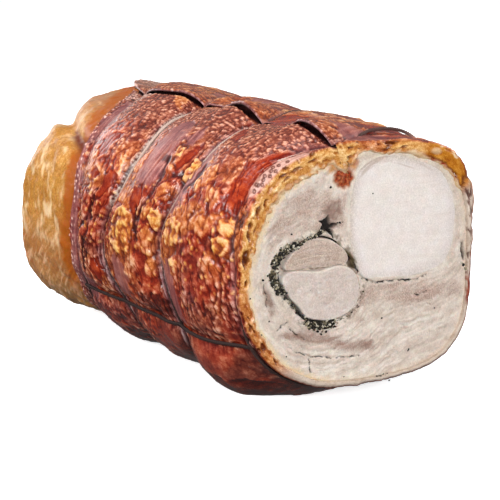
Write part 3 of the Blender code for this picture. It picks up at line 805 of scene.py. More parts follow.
    rough = (1 - 0.6 * red - 0.8 * mauve - 0.9 * near_pores) * (1 - rope) * (1 - wrap)
    rough = clamp(rough * (1 - 0.65 * lobe_skin))
    relief = rough * (0.6 * pimple * (0.25 + 0.75 * crown) * (1 - 0.7 * gold))
    relief += rough * (1 - 0.85 * crown) * (0.6 * knob * (0.3 + 0.7 * patchy) + 0.16 * knobbly) * (1 - gold)
    relief += (0.3 + 0.7 * rough) * 0.55 * swollen * (1 - 0.5 * crown)
    relief += 0.3 * grain(flat, 13.0, 81, 2)
    relief += gold * (0.35 + 0.75 * puffed + 0.4 * knobbly + 0.3 * pimple)
    relief = relief + 0.35 * flecks + 0.35 * amber - 0.3 * red - 0.7 * dark_line - 0.2 * darkened
    relief += wrap * (0.5 * fibre + 0.2)
    relief = relief + mauve * 0.16 * silk + 0.35 * specks
    relief += knobs * (0.6 + 1.3 * grain(flat, 4.0, 83, 2))
    relief -= 0.5 * crease
    pit = np.zeros_like(u)
    for spot_x, spot_angle in PORES:
        across, up = u - spot_x, v - spot_angle * ROUND
        far = np.hypot(*(a * across + b * up for a, b in PORE_SLANT))
        relief -= 0.4 * fade(far, 0.6, 1.7)
        pit = np.maximum(pit, ease(far, 0.35, 0.8) * fade(far, 1.15, 1.75))

    m = {
        "crown": clamp(np.maximum(crown, 0.75 * wine)),
        "red": clamp(red + 0.55 * ease(blot, 0.05, 0.4) * (1 - crown) * (1 - wine)) * 0.92,
        # The streaks of silk and sheen paint streaky highlights along the mauve strips
        "mauve": np.minimum(clamp(mauve * (0.68 + 0.16 * silk + 0.26 * sheen)
                                  + 0.5 * groove * (1 - gold) * (1 - red)), 0.85),
        "plum": np.minimum(clamp((plum + dark_line) * (1 - gold) * (1 - red)), 0.85),
        "gold": clamp(np.maximum(gold * (0.4 + 0.4 * puffed + 0.45 * grain(flat, 4.0, 65)), 0.8 * flecks)),
        "wrap": wrap * (0.45 + 0.5 * ease(fibre, -0.3, 0.3)),
        "amber": clamp(amber * (0.8 + 0.4 * knobbly)
                       + 0.85 * middle * ease(-blot, -0.1, 0.25) * (1 - 0.6 * low_near)
                       + between(angle, 62, 101, 10) * (0.55 + 0.4 * grain(flat, 7.0, 46, 2)))
                 * (1 - 0.6 * low),
        "pit": clamp(pit),
        "pale": clamp(near_pores * 0.8 + crust * ease(knobbly, -0.1, 0.35) + 0.75 * specks),
        "flap": np.maximum(fade(u + 4 * ragged, -104, -92) * bell(angle, 76, 18) * 0.85, 0.7 * knobs),
        "grey": rope * (1 - 0.75 * rope_dots),
    }
    # Dark: painted shade in the creases and wrinkles, the cut-in dark lines and the grooves of the loops, and
    # darker patches of skin; the skin is also darker low on the side and towards the bottom, and the rope's dots
    # and the crust's bits are dark.
    depth = 0.4 * crease * (1 - 0.8 * crown) + 0.45 * dark_line + 0.7 * darkened
    depth = depth + low * (0.16 + 0.42 * grain(flat, 9.0, 111)) + 0.35 * groove * (1 - rope) * (1 - red)
    depth = depth + 0.8 * ease(angle + 5 * ragged, 222, 240) * fade(angle, 300, 330)
    depth = depth + crust * ease(-knobbly, 0.15, 0.4) + rope * rope_dots * 0.8
    m["dark"] = np.minimum(clamp(depth * (1 - 0.75 * m["gold"])), 0.9)
    # Painted shade: a dark band a few millimetres beside the loops, low on the side.
    lift_mask(m, "dark", 0.7 * fade(from_loop, 4.0, 6.5) * ease(from_loop, 2.6, 4.4) * low_side)
    for word in ("stand", "cream", "crust", "glaze", "fat", "hollow"):
        m[word] = np.zeros_like(u)
    return m, relief * MM


# The overlap's lip, column by column: degrees back from the edge, the share of the way up to the roof of
# the gap, and the share of the way over the rind's cut edge
LIP_RUN = np.array([-2.4, -1.7, -1.1, -0.4, 1.0, 3.0, 5.0, 3.4, 1.8, 0.75, 0.1, -0.02])
LIP_ROOF = np.array([0, 0, 0, 0, 0, 0, 0.5, 1, 1, 1, 1, 1.0])
LIP_OVER = np.array([0, 0, 0, 0, 0, 0, 0, 0, 0, 0.05, 0.3, 0.7])
NO_TWINE = 99      # millimetres to a loop that isn't there


def rind_line(name, angle):
    """Where along the roll a line round it lies: a loop of twine, the cut or the end of the rind."""
    if name == "cut":
        return HALF_LENGTH - CUT_INSET + 0.0 * angle
    return rind_end(angle) if name == "end" else loop_place(name, angle)


def rind_rings(near, far, shares, lift_at, start):
    """Rings over a band of rind, from one line round the roll to the next, with the turned-in lip of
    the overlap."""
    shares = np.asarray(shares)[:, None]

    def x_of(angle):
        return rind_line(near, angle) + (rind_line(far, angle) - rind_line(near, angle)) * shares

    def masks_at(x, angle):
        width = (rind_line(near, angle) - rind_line(far, angle)) / MM
        gone = shares * width
        apart = {near: gone, far: width - gone}
        nearest = np.minimum(*(apart[name] if name in LOOP_ROUTES else gone + NO_TWINE for name in apart))
        return rind_masks(x, angle, start + gone, nearest, apart.get("third", gone + NO_TWINE))

    edge = overlap_edge(x_of(overlap_edge(0.0)))
    lift = np.nan_to_num(lift_at(shares))
    angle = (edge - TURNS[None]) % 360
    x = x_of(angle)
    masks, relief = masks_at(x, angle)
    radius = outer_rind(x, angle, lift) + relief
    # The lip: in front of the edge on the layer below, back under the edge, then round its cut edge
    lip_angle = edge - LIP_RUN[None]
    lip_x = x_of(lip_angle % 360)
    floor = under_layer(lip_x, lip_angle, lift)
    lip_radius = floor + edge_gap(lip_x, lift) * LIP_ROOF[None] + edge_thickness(lip_x, lift) * LIP_OVER[None]
    lip_masks, lip_relief = masks_at(lip_x, lip_angle % 360)
    lip_radius = lip_radius + lip_relief * np.where(LIP_ROOF > 0.4, LIP_OVER, fade(LIP_RUN, -2.0, 0.5))[None]
    # Deep under the edge the colour gives way to painted shade, near black, in the gap; the flap's cut edge is
    # painted mauve-grey as the shade in the gap, and a thin mauve-grey line along the top of the edge is a painted
    # highlight.
    deep = ease(LIP_RUN, -2.5, -0.8) * fade(LIP_OVER, 0.25, 0.7)
    rim = np.minimum(ease(lift, 0.0, 0.3) * 0.8, 1) * fade(TURNS, 0.2, 1.1)[None]
    for word in masks:
        lip_masks[word] = lip_masks[word] * (1 - deep[None])
    lip_masks["hollow"] = deep[None] * 0.95 * ease(through(EDGE_OPEN, lip_x), 0.1, 0.6)
    lift_mask(lip_masks, "wrap", (LIP_OVER > 0)[None] * 0.85)
    lift_mask(masks, "wrap", rim)
    masks = {word: np.concatenate([masks[word], lip_masks[word]], 1) for word in masks}
    relief = np.concatenate([relief, lip_relief * 0.5], 1)
    return (np.concatenate([x, lip_x], 1), np.concatenate([angle, lip_angle % 360], 1),
            np.concatenate([radius, lip_radius], 1), masks, relief)


# Each length of rind as runs: from line, to line, rows, how the rind lifts between them, and the distance
# of the first line from the first loop
RIND_LENGTHS = {
    "rind_near": (("cut", "face", 14, lambda share: END_LIFT * (1 - share), -12),
                  ("face", "middle", 100, swell, 0)),
    "rind_middle": (("middle", "third", 105, swell, 65),),
    "rind_far": (("third", "far", 80, swell, 130), ("far", "end", 36, lambda share: END_LIFT * share, 190)),
}
# Where the rind ends over the bare end its own thickness shows: metres in, metres back, and how much of
# the masks is lost
RIND_TAIL = ((0.0006, 0.0004, 0.6), (0.0022, -0.001, 1.0), (0.0045, -0.001, 1.0))


def make_rind(material):
    for name, runs in RIND_LENGTHS.items():
        parts = []
        for near, far, count, lift_at, start in runs:
            shares = np.linspace(0, 1, count + 1)[1 if parts else 0:]
            parts.append(rind_rings(near, far, shares, lift_at, start))
        x, angle, radius, relief = (np.concatenate([p[i] for p in parts]) for i in (0, 1, 2, 4))
        masks = {word: np.concatenate([p[3][word] for p in parts]) for word in parts[0][3]}
        relief = relief / MM
        broad = grain(sheet(x / MM / 1.3, angle * ROUND), 7.5, 82)
        # How far a place stands above the skin close round it, and above that a little wider round it; the rind's
        # colour runs along it, as painted shade in the hollows and painted highlights on the high points
        masks["stand"] = clamp(0.425 + (1.0 + 0.4 * masks["crown"]) * (relief - around_mean(relief, 4))
                               + 0.4 * (relief - around_mean(relief, 13))
                               + 0.17 * broad * (1 - 0.5 * masks["crown"]))
        if name == "rind_near":
            x, angle, radius, masks = add_rim(x, angle, radius, masks)
        if name == "rind_far":
            for inset, back, dull in RIND_TAIL:
                x = np.vstack([x, x[-1:] - back])
                angle = np.vstack([angle, angle[-1:]])
                radius = np.vstack([radius, radius[-1:] - inset])
                for word, values in masks.items():
                    keep = 1.0 if word in ("stand", "flap") else 1 - dull
                    masks[word] = np.vstack([values, values[-1:] * keep])
        piece(grid_mesh(name, place_points(x, angle, radius), masks), material, "belly")


# ---------------------------------------------------------------- the cut face
# How far the rim reaches in over the cut: (degrees, millimetres)
RIM_WIDTH = ((91, 6.0), (95, 10.0), (100, 13.5), (105, 12.0), (110, 9.0), (116, 10.5), (126, 12.0),
             (137, 11.5), (147, 12.0), (155, 11.5), (165, 9.5), (175, 6.5), (185, 6.0), (196, 6.0),
             (205, 6.0), (215, 5.5), (228, 4.0), (245, 3.0), (262, 2.4), (300, 2.2), (320, 2.6), (340, 2.5),
             (358, 3.0), (15, 4.5), (28, 8.0), (40, 10.5), (52, 10.0), (62, 7.5), (78, 6.5))
RIM_ROWS = 24
RIM_START = 0.0009
# Holes between the blisters that the knife has opened: degrees, millimetres in, length, width
RIM_HOLES = ((169, 3.4, 3.4, 2.0), (127, 4.2, 4.6, 0.9), (133, 3.0, 3.0, 0.8), (150, 4.0, 3.6, 1.0),
             (146, 6.0, 2.6, 0.8), (157, 2.6, 2.2, 0.8), (118, 3.6, 3.2, 0.8), (180, 2.8, 1.8, 0.8),
             (210, 2.6, 3.0, 1.3), (35, 7.6, 1.0, 0.9), (358.6, 1.6, 2.6, 1.5), (351, 2.4, 1.2, 0.8))


def add_rim(x, angle, radius, masks):
    """Carries the near rind round the edge of the cut: sliced crackling along the side, glazed fat on the
    upper corner and soft fat on the far side."""
    edge_x, edge, edge_radius = x[:1], angle[:1], radius[:1]
    arc = edge * ROUND
    crackling = between(edge, 62, 226, 16)
    pallid = between(edge, 76, 92, 10) + between(edge, 182, 226, 20) * 0.7
    glazed = between(edge, 27, 54)
    knobs = between(edge, 7, 32)
    rust = between(edge, -21, -11, 5)
    toast_side = between(edge, 50, 66)
    toasted = between(edge, 50, 64) + 0.8 * between(edge, 92, 103)
    far_side = 1 - clamp(crackling + glazed + toast_side)
    rough = 0.15 + 0.5 * crackling + 0.35 * glazed + 0.7 * knobs
    rows = []
    for row in range(RIM_ROWS, 0, -1):
        share = 1.2 * row / RIM_ROWS
        depth = through(RIM_WIDTH, edge, 360) * share + 0 * arc
        ragged = streaks(arc / 3.2, depth / 2.2, 122, 3)
        lump = streaks(arc / 2.9, depth / 1.7, 124, 3)
        hole = ease(streaks(arc / 4.2, depth / 1.5, 123, 2), 0.42, 0.62) * fade(share, 0.55, 0.8) * crackling
        for place, inset, long, wide in RIM_HOLES:
            far = np.hypot((arc - place * ROUND) / long, (depth + 0.6 * ragged - inset) / wide)
            hole = np.maximum(hole, fade(far, 0.6, 1.1))
        gone = ease(share + 0.16 * ragged * crackling, 0.86, 1.12)
        inner = ease(share + 0.22 * ragged, 0.68, 0.95)
        outer = fade(share, 0.6, 1.1)
        tan_lump = fade(np.hypot((arc - 50 * ROUND) / 3.4, (depth - 4.0) / 2.4), 0.5, 1.1)
        brown_edge = between(edge, -45, 27, 8) * fade(share, 0.1, 0.5) * ease(lump, 0.05, 0.5)
        rusty = rust * fade(share + 0.4 * ragged, 0.75, 1.1)
        rise = 1.2 * (1 - (1 - min(share, 1.0)) ** 5) - 1.5 * hole + rough * lump * (1 - gone) + 0.7 * tan_lump
        glaze = clamp(glazed * fade(share, 0.78, 0.88))
        cream = np.maximum(inner * (1 - glaze), 0) * (1 - far_side)
        # Dark in the rim: painted shade in the knife's holes and between the knobs, with the crackling's own dark
        # line in the glazed corner, brown edge and rust; the cream on the glazed lumps is painted highlight.
        dark = (hole * 0.7, 0.6 * glazed * fade(np.abs(share - 0.8), 0.03, 0.1), 0.55 * brown_edge,
                0.4 * rusty, 0.85 * knobs * ease(-lump, 0.0, 0.45) * outer)
        shown = dict.fromkeys(masks, 0.0) | {
            "crust": clamp(crackling + toast_side) * (1 - 0.9 * inner) * (1 - 0.55 * pallid),
            "glaze": glaze,
            "red": np.maximum(toasted * fade(share + 0.2 * ragged, 0.5, 0.8) * 0.8, 0.55 * rusty),
            "cream": np.max([cream, 0.8 * glazed * ease(lump - share, 0.45, 0.6), 0.9 * tan_lump], 0),
            "fat": far_side * (1 - 0.6 * brown_edge) * (1 - 0.9 * rusty),
            "crown": 0.5 * glazed * ease(lump + share, 0.75, 1.2) * fade(share, 0.75, 0.85),
            "flap": knobs * ease(lump, -0.15, 0.25) * outer * 0.9,
            "dark": np.max(dark, 0) * (1 - tan_lump),
            "stand": 0.53 + 0.26 * lump * (0.7 + 0.3 * crackling) + 0.14 * ragged - 0.3 * hole,
        }
        rows.append((edge_x + (rise - 2.2 * gone) * MM, edge,
                     np.maximum(edge_radius - RIM_START - depth * MM, 0.01),
                     {word: clamp(values + 0 * arc) for word, values in shown.items()}))
    x, angle, radius = (np.vstack([row[i] for row in rows] + [old]) for i, old in enumerate((x, angle, radius)))
    masks = {word: np.vstack([row[3][word] for row in rows] + [old]) for word, old in masks.items()}
    return x, angle, radius, masks


# The pieces in the face, each as its middle and its outline
LOIN = (29.0, 25.5), (
    (-5, 46), (-1.5, 53), (4, 57.5), (11, 59.8), (20, 60.5), (32, 58), (44, 54), (55, 48), (61, 40), (65, 28),
    (65, 14), (63, 3), (58, -4), (47, -8), (30, -9.5), (13, -8), (2, -6), (-2, 2), (-6, 12), (-7.5, 24),
    (-7, 36))
FILLET = (-25.0, -12.0), (
    (-49, -7), (-51, -1), (-47, 2), (-37, 2), (-24, 1), (-12, 2), (-4, -2), (0, -10), (-1, -18), (-6, -24),
    (-14, -27), (-26, -27), (-35, -24), (-42, -16))
FOLD = (-28.5, 9.0), (
    (-49, 4), (-47, 9), (-42, 14), (-39, 17), (-30, 19), (-19, 17), (-13, 13), (-8, 8), (-9, 3), (-14, 2.6),
    (-21, 1.8), (-30, 2.4), (-40, 3))
HEART = (-26.0, -5.0), (      # the fillet, its fold and the herbs round them
    (-53, -7), (-55, 2), (-54, 9), (-49, 15), (-41, 19), (-30, 22), (-19, 20), (-10, 13), (-4, 4), (1, -6),
    (1, -18), (-5, -26), (-14, -30), (-27, -30), (-37, -27), (-45, -18))


def ring(shape, angle):
    """How far out the outline of a shape lies from its middle."""
    middle, line = shape
    y, z = (np.array(line, float) - middle).T
    return through(list(zip(np.degrees(np.arctan2(z, y)) % 360, np.hypot(y, z))), angle, 360)


def depth_inside(y, z, shape):
    """How far inside a shape each place is, in millimetres, measured from its middle."""
    y, z = y - shape[0][0], z - shape[0][1]
    return ring(shape, np.degrees(np.arctan2(z, y))) - np.hypot(y, z)


LEAN_PATCHES = (
    ((2, -13), (9, -11), (26, -12), (47, -14), (65, -16), (73, -20), (71, -25), (55, -24), (41, -26), (27, -23),
     (13, -20), (1, -23), (-7, -28)),
    ((-52, -32), (-46, -34), (-36, -38), (-24, -41), (-10, -46), (10, -47), (8, -43), (-7, -41), (-21, -35),
     (-40, -31)),
    ((-21, 45), (-18, 39), (-15, 31), (-21, 37), (-8, 46), (-10, 36), (-9, 24), (-20, 22), (-32, 24), (-50, 22),
     (-58, 16), (-60, 26), (-48, 42), (-34, 46)),
)
MAUVE_PATCHES = (
    ((-62, -4), (-58, -6), (-55, -14), (-55, -20), (-58, -20), (-61, -12)),
    ((-24, 36), (-18, 40), (-13, 38), (-12, 30), (-16, 26), (-22, 28)),
)
OLIVE_GAP = ((-14, 12.5), (-8, 10.5), (-3, 4), (-1.5, -2), (-5, 0), (-8.5, 5), (-12, 8.5))
FACE_CRACKS = (
    (((-1, -3), (2, -7), (6, -8.5), (11, -10), (16, -10.5), (23, -11), (30, -11), (39, -12), (46, -11)), 2.2),
    (((-53, -29), (-51, -26.5), (-47, -25.5)), 1.6),
    (((-33, -48), (-32, -51), (-32.5, -55)), 1.6),
    (((-41, -42), (-36, -45), (-25, -48), (-12, -50), (0, -51)), 1.4),
    (((38, -20), (42, -21), (47, -19.5)), 1.4),
    (((-11, 10), (-8, 6), (-3, 1), (-1, -2)), 3.2),
    (((-46, -29), (-41, -33), (-35, -36)), 1.3),
    (((-62, -2), (-60, -8), (-60, -15)), 1.2),
)
STAR_HOLE = ((-27, 27.5), (-24, 25), (-28, 21), (-22, 22.5), (-17, 19), (-18.5, 23), (-15, 25), (-20, 26.5),
             (-21, 31), (-24, 27.5))
EDGE_HOLE = ((70.5, 5), (71.8, 5), (72.4, 1), (73.4, -3), (72.4, -4.5), (71.2, -2), (70.8, 2))
BURNT_CRUST = ((-21, 53), (-21, 62), (-12, 66), (-3, 65), (-2, 58), (-4, 54), (-8, 56), (-15, 56))
BURNT_SPOT = ((-16.5, 54), (-17.5, 50), (-15.5, 46.5), (-11.5, 45), (-7, 46), (-5, 49.5), (-6, 54), (-9, 57),
              (-13, 57))
LAYER_BLEND = 6.0


def layer_depth(y, z):
    """Distance out from the fillet and loin together: the belly's layers follow it."""
    heart, loin = -depth_inside(y, z, HEART), -depth_inside(y, z, LOIN)
    return -LAYER_BLEND * np.log(np.exp(-heart / LAYER_BLEND) + np.exp(-loin / LAYER_BLEND))


def face_masks(y, z, from_rim):
    """What shows at each place of the belly's cut face, and its relief in millimetres."""
    turn = np.degrees(np.arctan2(z, y)) % 360
    crackled = 0.25 + 0.75 * ease(turn, 84, 112) * fade(turn, 236, 262)
    flat = sheet(y, z)
    wy = y + 0.9 * grain(flat, 4.0, 201)
    wz = z + 0.9 * grain(flat, 4.0, 202)

    def patches(lines, soft):
        return sum(patch(wy, wz, line, soft) for line in lines)

    layer = layer_depth(wy, wz)
    sweep = np.degrees(np.arctan2(z - 4, y + 4)) * 0.75
    fibres = streaks(layer / 0.9, sweep / 9, 203, 3)
    bands = streaks(layer / 2.2, sweep / 22, 204, 3)
    hair = fade(np.abs(streaks(layer / 2.6, sweep / 9, 213, 3)), 0.0, 0.07)
    hair = hair * ease(grain(flat, 6.0, 214, 2), -0.1, 0.4) * ease(from_rim, 1, 5)
    lean, low_lean = patches(LEAN_PATCHES, 2.2), patches(LEAN_PATCHES[1:2], 2.6)
    mauve = patches(MAUVE_PATCHES, 2.0)
    lower = ease(-z, 20, 30)
    broken = ease(grain(flat, 2.6, 205, 2), -0.45, 0.1)
    lines = [line_mask(wy, wz, line, width) for line, width in FACE_CRACKS]
    cut = np.max(lines, 0)
    star = np.maximum(patch(wy, wz, STAR_HOLE, 0.5), patch(wy, wz, EDGE_HOLE, 0.7))
    near_heart = -depth_inside(y, z, HEART)
    olive = clamp(fade(near_heart, 0.4, 3.2) * ease(grain(flat, 1.6, 206), -0.2, 0.5)) * 0.6
    darkened, round_burnt, halo = (patch(wy, wz, BURNT_SPOT, soft) for soft in (1.6, 3.4, 8.0))
    crust = patch(wy, wz, BURNT_CRUST, 2.0)
    toast = grain(flat, 1.8, 207)
    pale = clamp(ease(-bands, 0.05, 0.6) * (0.25 + 0.15 * lower)) * (1 - lean * 0.7)
    m = {
        "lean": clamp(lean * (0.66 + 0.35 * grain(flat, 5.0, 212)) + 0.3 * low_lean
                      + 0.25 * ease(bands, 0.0, 0.5)),
        "streak": clamp(ease(fibres, 0.1, 0.7) * (0.22 + 0.3 * lower + 0.15 * lean)),
        "pale": np.maximum(pale, 0.9 * ease(halo, 0.12, 0.4)),
        "peach": clamp(fade(from_rim + 1.6 * grain(flat, 2.2, 210), -0.5, 4.0)) * crackled,
        "mauve": clamp(0.95 * mauve * (0.8 + 0.4 * grain(flat, 3.0, 215, 2)) + 0.45 * hair
                       + low_lean * (0.6 + 0.5 * bands)),
        "olive": np.maximum(olive, patch(wy, wz, OLIVE_GAP, 1.2)),
        # Painted shade: the cracks and holes are near black
        "dark": clamp(np.maximum(ease(cut, 0.25, 0.75) * broken, star)),
        "char": clamp(darkened * (0.9 + 0.25 * toast) + crust * ease(-toast, 0.0, 0.4) * 0.6),
        "gold": clamp(np.maximum(round_burnt * 1.2, crust) * (1 + 0.15 * toast)),
    }
    relief = 0.26 * fibres + 0.15 * bands + 0.24 * grain(flat, 1.7, 211, 2) - 2.6 * star - 1.1 * cut
    relief = relief + 0.5 * grain(flat, 9.0, 208, 2)
    relief = relief - 0.6 * darkened * np.clip(grain(flat, 1.5, 209, 2) + 0.5, 0, 2)
    relief = relief + 0.6 * crust * toast - 0.35 * hair
    # The meat drops back behind the pieces that lie in it
    inside = np.maximum(depth_inside(y, z, LOIN), near_heart * -1 - 1.0)
    return m, relief - 4.5 * ease(inside, 0.6, 1.8)


def all_round(columns):
    """Evenly spaced angles round the roll, as the row of a grid."""
    return np.linspace(0, 360, columns, endpoint=False)[None]


FACE_COLUMNS, FACE_ROWS = 620, 130
FACE_INSET = 0.0018
FACE_MIDDLE = 2.0      # millimetres from the axis to the innermost ring
FACE_SIZE = 65         # millimetres from the edge to the middle, near enough to fade by
EDGE_DROP = 2.5        # millimetres that the edge goes back under the rim
MIDDLE_DROP = 0.0045   # metres that the middle goes back behind the loin and the fillet
RIM_COVER = 0.55       # the share of its width that the rim covers


def make_cut_face(material):
    """The belly meat in the cut, from its edge under the rim to the middle."""
    angle = all_round(FACE_COLUMNS)
    x = HALF_LENGTH - FACE_INSET
    width = through(RIM_WIDTH, angle, 360)
    outer = top_of_rind(x, angle, END_LIFT) / MM
    rim = outer - width * RIM_COVER - 1.0
    share = np.linspace(0, 1, FACE_ROWS)[:, None]
    radius = FACE_MIDDLE + (rim - FACE_MIDDLE) * (1 - share)
    y, z = radius * cosine(angle), radius * sine(angle)
    masks, relief = face_masks(y, z, outer - 0.9 - width - radius)
    relief = relief - EDGE_DROP * fade(share * FACE_SIZE, 0.0, 1.6)
    points = np.stack([x + relief * MM + 0 * y, y * MM, AXIS_HEIGHT + z * MM], -1)
    tip = np.array([[x - MIDDLE_DROP, 0.0, AXIS_HEIGHT]])
    piece(grid_mesh("belly_meat", points, masks, tip), material, "belly")


MEAT_WORDS = ("lean", "streak", "pale", "peach", "mauve", "olive", "gold", "char", "dark")
WALL_ROWS = 8


def muscle(name, shape, inset, back, material, node, edge, masks_at, columns, rows):
    """A muscle that runs through the roll: its cut end with a rounded edge, and its side back to its end.
    inset and back are in metres, edge in millimetres."""
    angle = all_round(columns)
    middle_y, middle_z = shape[0]
    outline = ring(shape, angle)
    share = np.linspace(0, 1, rows)[:, None]
    radius = outline * (1 - (1 - share) * 0.985)
    y, z = middle_y + radius * cosine(angle), middle_z + radius * sine(angle)
    inside = outline - radius
    masks, relief = masks_at(y, z, inside)
    round_off = edge * (1 - np.sqrt(clamp(1 - (1 - clamp(inside / edge)) ** 2)))
    x = HALF_LENGTH - inset + (relief - round_off) * MM

    def with_wall(values):
        return np.vstack([values, np.repeat(values[-1:], WALL_ROWS - 1, 0)])[::-1]

    wall = np.linspace(0, 1, WALL_ROWS)[1:, None]
    x = np.vstack([x, x[-1:] + (back - x[-1:]) * wall])[::-1]
    points = np.stack([x, with_wall(y) * MM, AXIS_HEIGHT + with_wall(z) * MM], -1)
    masks = {word: with_wall(masks.get(word, np.zeros_like(y))) for word in MEAT_WORDS}
    tip = np.array([[x[-1].mean(), middle_y * MM, AXIS_HEIGHT + middle_z * MM]])
    piece(grid_mesh(name, points, masks, tip), material, node)


def loin_masks(y, z, inside):
    across = streaks(y / 14, z / 1.1, 301, 3)
    soft_side = np.maximum(ease(-y, -4, 8), ease(z, 48, 60))
    arcs = streaks(inside / 1.1, y / 16, 304, 2) * ease(z, 46, 54) * fade(inside, 5, 8)
    streak = clamp(0.2 * ease(across, 0.1, 0.7) * ease(inside, 0, 8) * ease(y, 15, 45))
    return {
        "lean": clamp(fade(inside, 0, 7) * (0.45 + 0.5 * soft_side)),
        "streak": np.maximum(streak, 0.6 * ease(arcs, 0.1, 0.5)),
        "pale": 0.4 * ease(inside, 2, 9),
    }, 0.06 * across + 0.35 * grain(sheet(y, z), 16.0, 303, 2) - 0.4


def fillet_masks(y, z, inside):
    flat = sheet(y, z)
    return {
        "lean": clamp(0.5 + 0.5 * grain(flat, 2.4, 311)) * 0.8,
        # A painted highlight along the fillet's rounded edge
        "pale": fade(inside, 0.3, 2.0) * 0.4,
        "mauve": ease(grain(flat, 5.0, 312), 0.2, 0.8) * 0.15,
    }, 0.22 * grain(flat, 2.0, 313) + 0.3 * grain(flat, 8.0, 314, 2) - 0.5


def fold_masks(y, z, inside):
    flat = sheet(y, z)
    fibres = streaks(y / 9, (z + 0.01 * (y + 28) ** 2) / 0.9, 321, 3)
    return {
        "lean": clamp(0.75 + 0.3 * grain(flat, 3.0, 322, 2)),
        "streak": ease(fibres, 0.1, 0.6) * 0.45,
        "pale": fade(inside, 0.3, 1.5) * 0.45,
    }, 0.2 * fibres + 0.3 * grain(flat, 6.0, 323, 2) - 0.6


def make_muscles():
    """The pale loin, the pinker fillet and the greyer lean folded over it, each as dull as its muscle."""
    loin = cut_meat("roast loin meat", "#c6b4a6 #d3c4b8 #dfd3c8", "#e2d7d3 #e8dedb #eee6e4")
    fillet = cut_meat("roast fillet meat", "#c2aea3 #cfbdb3 #dccdc4", "#d0c0b6 #d9cbc2 #e2d6cd")
    fold = cut_meat("roast folded lean", "#a98f80 #bca596 #cdb9ab", "#cdbcae #dacbbe #e6dacd")
    muscle("loin_meat", LOIN, 0.0014, LOIN_BACK, loin, "loin", 0.4, loin_masks, 380, 90)
    muscle("fillet_meat", FILLET, 0.0006, HEART_BACK, fillet, "fillet", 1.3, fillet_masks, 300, 60)
    muscle("folded_lean", FOLD, 0.0012, HEART_BACK, fold, "inner_fold", 1.2, fold_masks, 300, 46)


# ---------------------------------------------------------------- herbs
HERB_PATHS = (
    # line on the face, how many pieces, spread, size
    (((-24, 23), (-29, 21), (-35, 19), (-40, 16.5)), 130, 0.8, 0.5),
    (((-40, 17), (-45, 16), (-50, 14), (-53, 11)), 190, 1.5, 0.75),
    (((-53, 12), (-56, 7), (-57, 1), (-54, -5), (-51, -8)), 300, 2.3, 0.75),
    (((-51, -8), (-46, -15), (-40, -21), (-34, -26)), 90, 0.7, 0.5),
    (((-35, -27), (-29, -30), (-22, -31), (-16, -29)), 190, 1.9, 0.7),
    (((-16, -29), (-8, -27), (-1, -22), (2, -14)), 30, 0.8, 0.4),
    (((14, -65), (19, -64), (23, -66)), 50, 1.3, 0.6),
    (((70, -4), (73, -8), (75, -12)), 26, 1.2, 0.6),
    (((-16, 25), (-12, 27)), 10, 0.8, 0.4),
)
PEPPER_TONE = 0.08
PEPPER = ((-45, 23), (-63, 0), (-71, -9), (-59, -23), (15, -31), (-33, -9), (-10, -61), (-21, 23), (-64, -30),
          (-30, 58), (-20, 46), (8, 40), (34, -52), (-48, -44), (52, -30), (-14, 26))


def crumb(ball_points, centre, size, own):
    """One irregular herb crumb: a flattened, lumpy ball, shaped and turned by its own random numbers."""
    spread = np.array([0.55 + 0.6 * own[0], 0.8 + 0.9 * own[1], 0.5 + 0.7 * own[2]])
    local = ball_points * spread * (1 + 0.35 * lumps(ball_points * 1.7 + own[3] * 50, 7)[:, None])
    turn = Matrix.Rotation(own[3] * 6.283, 3, "X") @ Matrix.Rotation(own[0] * 3.1, 3, "Z")
    return centre + (local * size) @ np.array(turn).T


def ball(rows=4, around=7):
    """A small ball: points and faces."""
    points = [(0, 0, 1.0)]
    for i, j in itertools.product(range(1, rows), range(around)):
        a, b = math.pi * i / rows, 2 * math.pi * j / around
        points.append((math.sin(a) * math.cos(b), math.sin(a) * math.sin(b), math.cos(a)))
    points.append((0, 0, -1.0))
    faces = [(0, 1 + j, 1 + (j + 1) % around) for j in range(around)]
    for i, j in itertools.product(range(rows - 2), range(around)):
        a, b = 1 + i * around + j, 1 + i * around + (j + 1) % around
        faces.append((a, a + around, b + around, b))
    low = 1 + (rows - 2) * around
    faces += [(len(points) - 1, low + (j + 1) % around, low + j) for j in range(around)]
    return np.array(points), faces


CUT_X = HALF_LENGTH / MM
HERB_DEPTH = 2.3       # millimetres behind the cut where the lowest crumbs lie
OUTER_HERBS = 66       # millimetres from the axis: further out the crumbs lie deeper, in the crackling


def make_herbs(material):
    """The herb seam: a dark bed set back in the face, filled with chopped leaves and pale grits."""
    draw = np.random.default_rng(5)
    ball_points, ball_faces = ball()
    crumbs, tones = [], []
    for path, count, spread, size in HERB_PATHS:
        line = np.array(path, float)
        length = np.concatenate([[0], np.cumsum(np.hypot(*np.diff(line, axis=0).T))])
        for _ in range(count):
            s = draw.random() * length[-1]
            y, z = (np.interp(s, length, line[:, i]) + draw.normal() * spread * 0.62 for i in (0, 1))
            deeper = 4.0 if math.hypot(y, z) > OUTER_HERBS else 0.0
            x = CUT_X - HERB_DEPTH + draw.random() * 1.7 - deeper * draw.random()
            own = draw.random(4)
            grown = size * (0.5 + 1.0 * draw.random() ** 2)
            crumbs.append(crumb(ball_points, np.array([x, y, z]), grown, own))
            tones.append(draw.random() ** 2.1)
    for y, z in PEPPER:
        own = draw.random(4)
        crumbs.append(crumb(ball_points, np.array([CUT_X - 1.4, y, z]), 0.42 + 0.25 * own[1], own))
        tones.append(PEPPER_TONE)
    vertices = np.vstack(crumbs) * MM
    vertices[:, 0] = np.minimum(vertices[:, 0], HALF_LENGTH - 0.0001)
    vertices[:, 2] += AXIS_HEIGHT
    faces = [[i + k * len(ball_points) for i in face] for k in range(len(crumbs)) for face in ball_faces]
    tone = np.repeat(np.array(tones, np.float32), len(ball_points))
    piece(plain_mesh("chopped_herbs", vertices, faces, tone), material, "herb_filling")


